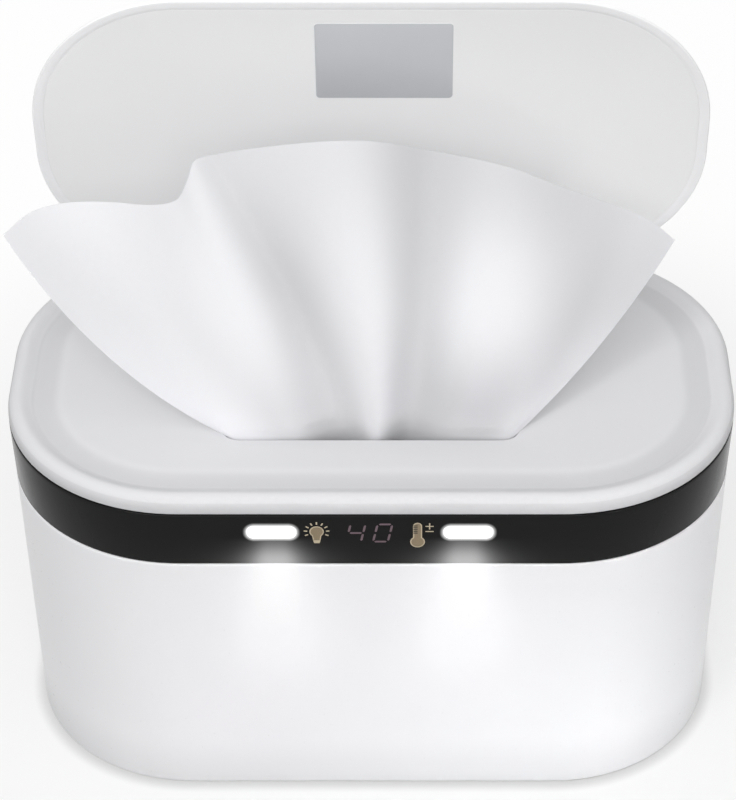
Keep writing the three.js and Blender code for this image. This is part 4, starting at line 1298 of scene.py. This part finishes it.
# %% The cloth
cloth_across = 190
cloth_up = 76
tail_rows = 8
all_rows = cloth_up + tail_rows
cloth_thickness = 0.35 * mm
deselect_all()
bpy.ops.mesh.primitive_grid_add(x_subdivisions=cloth_across, y_subdivisions=all_rows, size=1)
wipe = bpy.context.object
wipe.name = wipe.data.name = "pulled_up_wipe"
# Each point of the cloth carries how much painted shade it gets in the folds.
fold_shade_mask_name = "fold_shade_mask"
fold_shade_mask = wipe.data.attributes.new(fold_shade_mask_name, "FLOAT", "POINT")
for vertex in wipe.data.vertices:
    across = vertex.co.x + 0.5
    rise = (vertex.co.y + 0.5) * all_rows - tail_rows
    up = rise / (cloth_up if rise > 0 else tail_rows)
    vertex.co = wipe_point(across, up)
    fold_shade_mask.data[vertex.index].value = fold_shade_share(across, up)
cloth_area = sum(face.area for face in wipe.data.polygons)
print("cloth above and in the slot, in square mm:", round(cloth_area / mm ** 2))
wall(wipe, cloth_thickness)
say(wipe)

# %% [markdown]
# ## Opening the lid
# The lid's pieces turn about the hinge's axis by the angle at which the picture shows them. The turn goes
# straight into their meshes.

# %% Open the lid and join the shells
lid_cover = joined("lid_cover", *lid_parts)
deck = joined("deck_top", *deck_parts)
housing = joined("housing_shell", *housing_parts)
turn_open = (Matrix.Translation(lid_axis) @ Matrix.Rotation(-lid_open_angle, 4, "X")
             @ Matrix.Translation(-lid_axis))
for piece in (lid_cover, lid_liner, label):
    place_at(piece, turn_open)
    say(piece)

# %% [markdown]
# ## What each piece moves with and what it stands for
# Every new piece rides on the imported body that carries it, hides the plain solid that it replaces, and
# names the finish that the record gives it.

# %% Rides, replacements and finishes
pieces = [
    (housing, "housing", ["outer_housing"], "white_plastic"),
    (band, "housing", ["control_band"], "black_band"),
    (tank, "housing", ["wipe_tank"], "tank_plastic"),
    (socket, "housing", ["dc_inlet"], "dark_parts"),
    (light_bars[0], "housing", ["night_light_lens_left"], "light_lens"),
    (light_bars[1], "housing", ["night_light_lens_right"], "light_lens"),
    (deck, "deck", ["deck_cover"], "deck_plastic"),
    (seal, "deck", ["deck_seal"], "silicone"),
    (wipe, "deck", ["wipe_sheet"], "wipe_cloth"),
    (lid_cover, "lid", ["lid_shell"], "lid_plastic"),
    (lid_liner, "lid", ["lid_liner"], "lid_plastic"),
    (label, "lid", ["lid_label_plate"], "label"),
]
pieces += [(foot, "housing", [node], "rubber") for foot, node in zip(feet, foot_nodes)]
pieces += [(screw, "housing", [node], "steel") for screw, node in zip(screws, screw_nodes)]
pieces += [(sign, "housing", [], "dark_parts") for sign in (*signs_light, *signs_fill, sign_ticks, *digits)]
for piece, body, replaced, finish in pieces:
    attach(piece, body)
    if replaced:
        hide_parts(*replaced)

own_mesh(wipe)

# %% [markdown]
# ## Finishes
# A moulded plastic is never quite even: it has a fine grain from the mould, and its gloss and shade drift
# a little. That effect is needed by nearly every finish here, so it is one node group with its own
# values in each material. It works in object coordinates, which are the real places on the warmer.

# %% Helpers for materials
def new_group(name, inputs, outputs):
    """A shader node group with sockets of (name, kind, default value)."""
    group = bpy.data.node_groups.new(name, "ShaderNodeTree")
    for socket_name, kind, value in inputs:
        made = group.interface.new_socket(socket_name, in_out="INPUT", socket_type=kind)
        made.default_value = value
    for socket_name, kind in outputs:
        group.interface.new_socket(socket_name, in_out="OUTPUT", socket_type=kind)
    return group, group.nodes.new("NodeGroupInput"), group.nodes.new("NodeGroupOutput")


def place_parts(tree):
    """The X, Y and Z of a place on the warmer."""
    split = tree.nodes.new("ShaderNodeSeparateXYZ")
    tree.links.new(place_on(tree), split.inputs[0])
    return tuple(split.outputs)


def noise(tree, vector, scale, detail=2.0):
    """A noise texture's value; the scale is a number or a socket."""
    node = tree.nodes.new("ShaderNodeTexNoise")
    tree.links.new(vector, node.inputs["Vector"])
    if isinstance(scale, (int, float)):
        node.inputs["Scale"].default_value = scale
    else:
        tree.links.new(scale, node.inputs["Scale"])
    node.inputs["Detail"].default_value = detail
    return node.outputs["Fac"]


def dimmed(tree, color, value):
    """A colour made darker or lighter by a value, where 1 leaves it as it is."""
    node = tree.nodes.new("ShaderNodeHueSaturation")
    tree.links.new(color, node.inputs["Color"])
    tree.links.new(value, node.inputs["Value"])
    return node.outputs["Color"]


def add_relief(tree, shader, height, strength, depth=0.1 * mm):
    """Feeds a Bump node of a height value into a shader's normal."""
    bump = tree.nodes.new("ShaderNodeBump")
    bump.inputs["Strength"].default_value = strength
    bump.inputs["Distance"].default_value = depth
    tree.links.new(height, bump.inputs["Height"])
    tree.links.new(bump.outputs["Normal"], shader.inputs["Normal"])


def grey(level):
    """A colour from a linear grey level."""
    return (level, level, level, 1)


def linear(value):
    """A linear level from a 0 to 255 value that a screen shows (the sRGB curve)."""
    value /= 255
    return value / 12.92 if value <= 0.04045 else ((value + 0.055) / 1.055) ** 2.4


def shades(red, green, blue):
    return (linear(red), linear(green), linear(blue), 1)


# %% The moulded grain group
grain_group, grain_in, grain_out = new_group(
    "moulded_grain",
    [("Color", "NodeSocketColor", (0.8, 0.8, 0.8, 1)), ("Roughness", "NodeSocketFloat", 0.4),
     ("Grain Scale", "NodeSocketFloat", 900.0), ("Drift", "NodeSocketFloat", 0.04)],
    [("Color", "NodeSocketColor"), ("Roughness", "NodeSocketFloat"), ("Height", "NodeSocketFloat")])
broad_scale = 14.0
gloss_drift = 0.12
grain_place = place_on(grain_group)
fine = noise(grain_group, grain_place, grain_in.outputs["Grain Scale"], detail=3.0)
broad = noise(grain_group, grain_place, broad_scale)


def drifting(value, around, amount):
    """A value that wanders round a middle as a noise does round its own middle of 0.5."""
    drift = maths(grain_group, "MULTIPLY", maths(grain_group, "SUBTRACT", value, 0.5), amount)
    return maths(grain_group, "ADD", drift, around)


shade_drift = drifting(broad, 1.0, grain_in.outputs["Drift"])
for output_name, output in (
        ("Color", dimmed(grain_group, grain_in.outputs["Color"], shade_drift)),
        ("Roughness", drifting(fine, grain_in.outputs["Roughness"], gloss_drift)),
        ("Height", fine)):
    grain_group.links.new(output, grain_out.inputs[output_name])


def moulded(name, color, roughness, grain_scale=900.0, drift=0.04, relief=0.05, **constants):
    """A moulded plastic, rubber or metal: a Principled BSDF fed by the grain group."""
    material, tree, shader = new_material(name)
    grain = tree.nodes.new("ShaderNodeGroup")
    grain.node_tree = grain_group
    for input_name, value in (("Color", color), ("Roughness", roughness), ("Grain Scale", grain_scale),
                              ("Drift", drift)):
        grain.inputs[input_name].default_value = value
    tree.links.new(grain.outputs["Color"], shader.inputs["Base Color"])
    tree.links.new(grain.outputs["Roughness"], shader.inputs["Roughness"])
    add_relief(tree, shader, grain.outputs["Height"], relief)
    for socket_name, value in constants.items():
        shader.inputs[socket_name.replace("_", " ")].default_value = value
    return material


# %% [markdown]
# ## The night lights' glow
# The two night lights throw a soft cone of light down the band and on down the housing. Real lamps this
# small would cost many samples, so the cone is painted as a faint emission instead: a mask in object
# coordinates that widens below each bar, starts a little below its edge and fades out further down. Each
# bar itself glows with a soft edge that spreads a little over the gloss round it, its halo. The band, the
# housing and the bars share one group for both.

# %% The night glow group
bar_height = lens_boxes[0][1].z - lens_boxes[0][0].z
cone_start = 4.5 * mm
cone_spread = 0.19
cone_falloff = 3.4
cone_inward = 0.9 * mm
glow_starts = (1.5 * mm, 4 * mm)
near_to_far = (2.6 * mm, 12 * mm)
onto_front = (-50 * mm, -58 * mm)
fade_softness = 0.4
halo_edge = (lens_corner - 0.7 * mm, lens_corner + 1.4 * mm)
glow_group, glow_in, glow_out = new_group(
    "night_glow",
    [("Bar X", "NodeSocketFloat", 28.7 * mm), ("Bar Z", "NodeSocketFloat", 105.0 * mm),
     ("Bar Half", "NodeSocketFloat", 7.1 * mm), ("Near Level", "NodeSocketFloat", 0.1),
     ("Far Level", "NodeSocketFloat", 0.5), ("Fade End", "NodeSocketFloat", 40 * mm),
     ("Halo", "NodeSocketFloat", 0.0)],
    [("Color", "NodeSocketColor")])


def glow_maths(operation, *operands):
    """A Math node in the glow group; an operand is a number, a socket or the name of an input."""
    sockets = [glow_in.outputs[one] if isinstance(one, str) else one for one in operands]
    return maths(glow_group, operation, *sockets)


# %% The cone below each bar
place_x, place_y, place_z = place_parts(glow_group)
from_bar = glow_maths("SUBTRACT", glow_maths("ABSOLUTE", place_x), "Bar X")
drop = glow_maths("SUBTRACT", "Bar Z", place_z)
cone_half = glow_maths("MULTIPLY_ADD", drop, cone_spread, cone_start)
from_cone_middle = glow_maths("ABSOLUTE", glow_maths("ADD", from_bar, cone_inward))
side_share = glow_maths("POWER", glow_maths("DIVIDE", from_cone_middle, cone_half), cone_falloff)
across_mask = glow_maths("DIVIDE", 1.0, glow_maths("ADD", 1.0, side_share))
added_level = glow_maths("MULTIPLY", ramp(glow_group, drop, *near_to_far),
                         glow_maths("SUBTRACT", "Far Level", "Near Level"))
level_down = glow_maths("ADD", "Near Level", added_level)
faded = glow_maths("SMOOTH_MIN", 1.0, glow_maths("DIVIDE", drop, "Fade End"), fade_softness)
front_mask = ramp(glow_group, place_y, *onto_front)
glow_level = glow_maths("MULTIPLY", across_mask, level_down)
for mask in (ramp(glow_group, drop, *glow_starts), glow_maths("SUBTRACT", 1.0, faded), front_mask):
    glow_level = glow_maths("MULTIPLY", glow_level, mask)

# %% The halo round each bar
straight_half = glow_maths("SUBTRACT", "Bar Half", lens_corner)
beside = glow_maths("ABSOLUTE", from_bar)
past_end = glow_maths("MAXIMUM", 0.0, glow_maths("SUBTRACT", beside, straight_half))
past_top = glow_maths("MAXIMUM", 0.0, glow_maths("SUBTRACT", glow_maths("ABSOLUTE", drop),
                                                 bar_height / 2 - lens_corner))
from_corner = glow_maths("SQRT", glow_maths("ADD", glow_maths("MULTIPLY", past_end, past_end),
                                            glow_maths("MULTIPLY", past_top, past_top)))
edge_mask = ramp(glow_group, from_corner, *halo_edge, 1.0, 0.0)
halo = glow_maths("MULTIPLY", edge_mask, glow_maths("MULTIPLY", front_mask, "Halo"))
glow_level = glow_maths("MAXIMUM", glow_level, halo)
glow_color = glow_group.nodes.new("ShaderNodeCombineColor")
for channel in ("Red", "Green", "Blue"):
    glow_group.links.new(glow_level, glow_color.inputs[channel])
glow_group.links.new(glow_color.outputs[0], glow_out.inputs["Color"])
print("nodes in the glow group:", len(glow_group.nodes))


# %% Glow on a material
def add_glow(material, near, far, fade_end, halo_level=0.0):
    """Feeds a material's emission with the night lights' cone and halo."""
    tree = material.node_tree
    shader = tree.nodes["Principled BSDF"]
    glow = tree.nodes.new("ShaderNodeGroup")
    glow.node_tree = glow_group
    for input_name, value in (("Near Level", near), ("Far Level", far), ("Fade End", fade_end),
                              ("Halo", halo_level)):
        glow.inputs[input_name].default_value = value
    tree.links.new(glow.outputs["Color"], shader.inputs["Emission Color"])
    shader.inputs["Emission Strength"].default_value = 1.0


# %% [markdown]
# ## Painted shade low down
# The deck's groove lies in the shade of its rim, and the housing's white turns a little greyer towards
# the table. The large soft lamps give both too little of that shade, so it is painted: the plastic's
# colour is dimmed by about a tenth there, below a height, with a soft change above it.

# %% Painted shade below a height
def painted_shade_below(material, low, high, darker):
    """Paints shade into a material's colour: dimmed to darker at the height low, and not at all from high upwards.
    """
    tree = material.node_tree
    base_color = tree.nodes["Principled BSDF"].inputs["Base Color"]
    clean = base_color.links[0].from_socket
    height = place_parts(tree)[2]
    tree.links.new(dimmed(tree, clean, ramp(tree, height, low, high, darker, 1.0)), base_color)


# %% [markdown]
# ## The plastics and the metal
# The housing has a soft shine, and the deck and lid are matt. The band is nearly black under a thin
# gloss. What shows only from behind, from below or with the deck up is rubber, silicone, grey and dark
# plastic and steel.

# %% White plastics
white_plastic = moulded("housing_white", shades(240, 240, 242), 0.3, Specular_IOR_Level=0.45)
add_glow(white_plastic, near=0.02, far=0.26, fade_end=66 * mm)
# Painted shade: the housing's colour is dimmed towards the table.
painted_shade_below(white_plastic, low=0.0, high=22 * mm, darker=0.89)
deck_plastic = moulded("deck_white", shades(221, 221, 223), 0.55, grain_scale=1400.0, relief=0.08,
                       Specular_IOR_Level=0.1)
# Painted shade: the deck's colour is dimmed in its groove, below the plateau.
painted_shade_below(deck_plastic, low=plateau_z - 0.45 * mm, high=plateau_z - 0.06 * mm, darker=0.9)
lid_plastic = moulded("lid_white", shades(253, 253, 254), 0.45, grain_scale=1400.0, relief=0.08)
liner_plastic = moulded("liner_white", shades(251, 251, 251), 0.5, grain_scale=1100.0, relief=0.1)
tank_plastic = moulded("tank_grey", shades(214, 217, 221), 0.5, grain_scale=700.0, relief=0.1)

# %% The black band, and what shows from behind and below
band_gloss = moulded("band_black", grey(0.0085), 0.2, grain_scale=300.0, drift=0.3, relief=0.01,
                     Specular_IOR_Level=0.09)
add_glow(band_gloss, near=0.14, far=0.57, fade_end=90 * mm, halo_level=1.1)
rubber = moulded("foot_rubber", grey(0.03), 0.8, grain_scale=2200.0, drift=0.3, relief=0.3)
silicone = moulded("seal_silicone", shades(205, 206, 204), 0.6, grain_scale=500.0, relief=0.1,
                   Subsurface_Weight=0.1)
dark_plastic = moulded("dark_moulding", grey(0.018), 0.45, grain_scale=1600.0, drift=0.3, relief=0.15)
steel = moulded("screw_steel", grey(0.55), 0.3, grain_scale=2600.0, drift=0.2, relief=0.12, Metallic=1.0)

# %% Night light, signs and label
light_lens = moulded("light_bar_glow", grey(0.25), 0.3)
add_glow(light_lens, near=0.0, far=0.0, fade_end=90 * mm, halo_level=1.15)
sign_cream = moulded("sign_outline", shades(196, 182, 156), 0.4, drift=0.2, relief=0.0)
sign_tan = moulded("sign_tan", shades(134, 119, 94), 0.4, drift=0.3, relief=0.0)
sign_dark = moulded("sign_tick", grey(0.004), 0.4, drift=0.2, relief=0.0)
digit_mauve = moulded("digit_mauve", shades(104, 84, 92), 0.4, drift=0.3, relief=0.0)
label_silver = moulded("label_silver", shades(204, 206, 209), 0.38, grain_scale=1200.0, drift=0.12,
                       relief=0.02)

# %% Inner parts
aluminium = moulded("brushed_aluminium", grey(0.62), 0.35, grain_scale=1800.0, drift=0.15, relief=0.1,
                    Metallic=1.0)
board_green = moulded("board_green", shades(30, 92, 58), 0.45, grain_scale=420.0, drift=0.6, relief=0.2)
heater_orange = moulded("heater_mat", shades(178, 88, 44), 0.6, grain_scale=650.0, drift=0.4, relief=0.4)
foam_grey = moulded("foam_grey", shades(184, 187, 192), 0.9, grain_scale=800.0, drift=0.25, relief=0.8)

# %% [markdown]
# ## The wipe's cloth
# A spun cloth of matted fibres. Seen from a step away it is plain white with soft shadows in its folds;
# close up it has a faint mesh of fibres that run across each other. The fibres follow the cloth's own UV
# map, so that they bend with it. Low down near the slot and deep in its folds the cloth gets painted
# shade, a darker colour: the fold shade value that each of its points got from the ribs says how much.

# %% Fibres
cloth, cloth_tree, cloth_shader = new_material("spun_cloth")
cloth_uv = place_on(cloth_tree, "UV")


def fibres_along(stretch):
    """Noise stretched into streaks, by (across, up) on the cloth's UV map."""
    node = cloth_tree.nodes.new("ShaderNodeMapping")
    cloth_tree.links.new(cloth_uv, node.inputs["Vector"])
    node.inputs["Scale"].default_value = (*stretch, 1)
    return noise(cloth_tree, node.outputs["Vector"], scale=4.0, detail=3.0)


fibres_across = fibres_along((60, 420))
fibres_up = fibres_along((900, 30))
fibres = maths(cloth_tree, "MAXIMUM", fibres_across, fibres_up)
fibre_range = (0.3, 0.8)
between_fibres = shades(241, 241, 244)
on_fibres = shades(245, 245, 248)
fibre_mix = cloth_tree.nodes.new("ShaderNodeMix")
fibre_mix.data_type = "RGBA"
cloth_tree.links.new(ramp(cloth_tree, fibres, *fibre_range), fibre_mix.inputs["Factor"])
color_inputs = [one for one in fibre_mix.inputs if one.type == "RGBA"]
for color_input, color in zip(color_inputs, (between_fibres, on_fibres)):
    color_input.default_value = color
cloth_color = next(one for one in fibre_mix.outputs if one.type == "RGBA")

# %% Cloth finish
low_shade_reach = 26 * mm
low_shade = 0.94
fold_shade = 0.65
fibre_roughness = (0.95, 0.85)
fibre_relief = 0.12
in_fold = cloth_tree.nodes.new("ShaderNodeAttribute")
in_fold.attribute_name = fold_shade_mask_name
# Painted shade: the cloth's colour is dimmed low down near the slot and deep in its folds.
painted_low_shade = ramp(cloth_tree, place_parts(cloth_tree)[2], plateau_z, plateau_z + low_shade_reach, low_shade, 1.0)
fold_dark = ramp(cloth_tree, in_fold.outputs["Fac"], 0.0, 1.0, 1.0, fold_shade)
dark_cloth = dimmed(cloth_tree, cloth_color, maths(cloth_tree, "MULTIPLY", painted_low_shade, fold_dark))
cloth_tree.links.new(dark_cloth, cloth_shader.inputs["Base Color"])
cloth_rough = ramp(cloth_tree, fibres, *fibre_range, *fibre_roughness)
cloth_tree.links.new(cloth_rough, cloth_shader.inputs["Roughness"])
cloth_shader.inputs["Specular IOR Level"].default_value = 0.2
add_relief(cloth_tree, cloth_shader, fibres, fibre_relief)
print("nodes in the cloth's finish:", len(cloth_tree.nodes))

# %% [markdown]
# ## Wearing the finishes
# Each new piece takes the finish of its slot; the liner, the signs and the digits have one of their own.
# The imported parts, most of them inside, keep their shapes and take the finishes of their slots too.

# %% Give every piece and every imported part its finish
finishes = {
    "white_plastic": white_plastic, "black_band": band_gloss, "tank_plastic": tank_plastic,
    "dark_parts": dark_plastic, "light_lens": light_lens, "deck_plastic": deck_plastic,
    "silicone": silicone, "wipe_cloth": cloth, "lid_plastic": lid_plastic, "label": label_silver,
    "rubber": rubber, "steel": steel, "aluminium": aluminium, "circuit_board": board_green,
    "heater": heater_orange, "foam": foam_grey,
}


def wear(piece, material):
    """Makes a material the only one of a piece."""
    piece.data.materials.clear()
    piece.data.materials.append(material)


for piece, *_, finish in pieces:
    wear(piece, finishes[finish])
wear(lid_liner, liner_plastic)
wear(sign_ticks, sign_dark)
for signs, paint in ((signs_light, sign_cream), (signs_fill, sign_tan), (digits, digit_mauve)):
    for sign in signs:
        wear(sign, paint)

for subpart in frame["record"]["subparts"]:
    node = frame["nodes"][subpart["node"]]
    finish = finishes[subpart["material_slot"]]
    if not node.material_slots:
        node.data.materials.append(finish)
    for slot in node.material_slots:
        slot.material = finish

# %% Smooth shading
crease_deg = 35
cloth_crease_deg = 80
for piece, *_ in pieces:
    select_only(piece)
    bpy.ops.object.shade_smooth_by_angle(
        angle=math.radians(cloth_crease_deg if piece is wipe else crease_deg))
print("pieces:", len(pieces), "with", sum(len(piece.data.polygons) for piece, *_ in pieces), "faces")
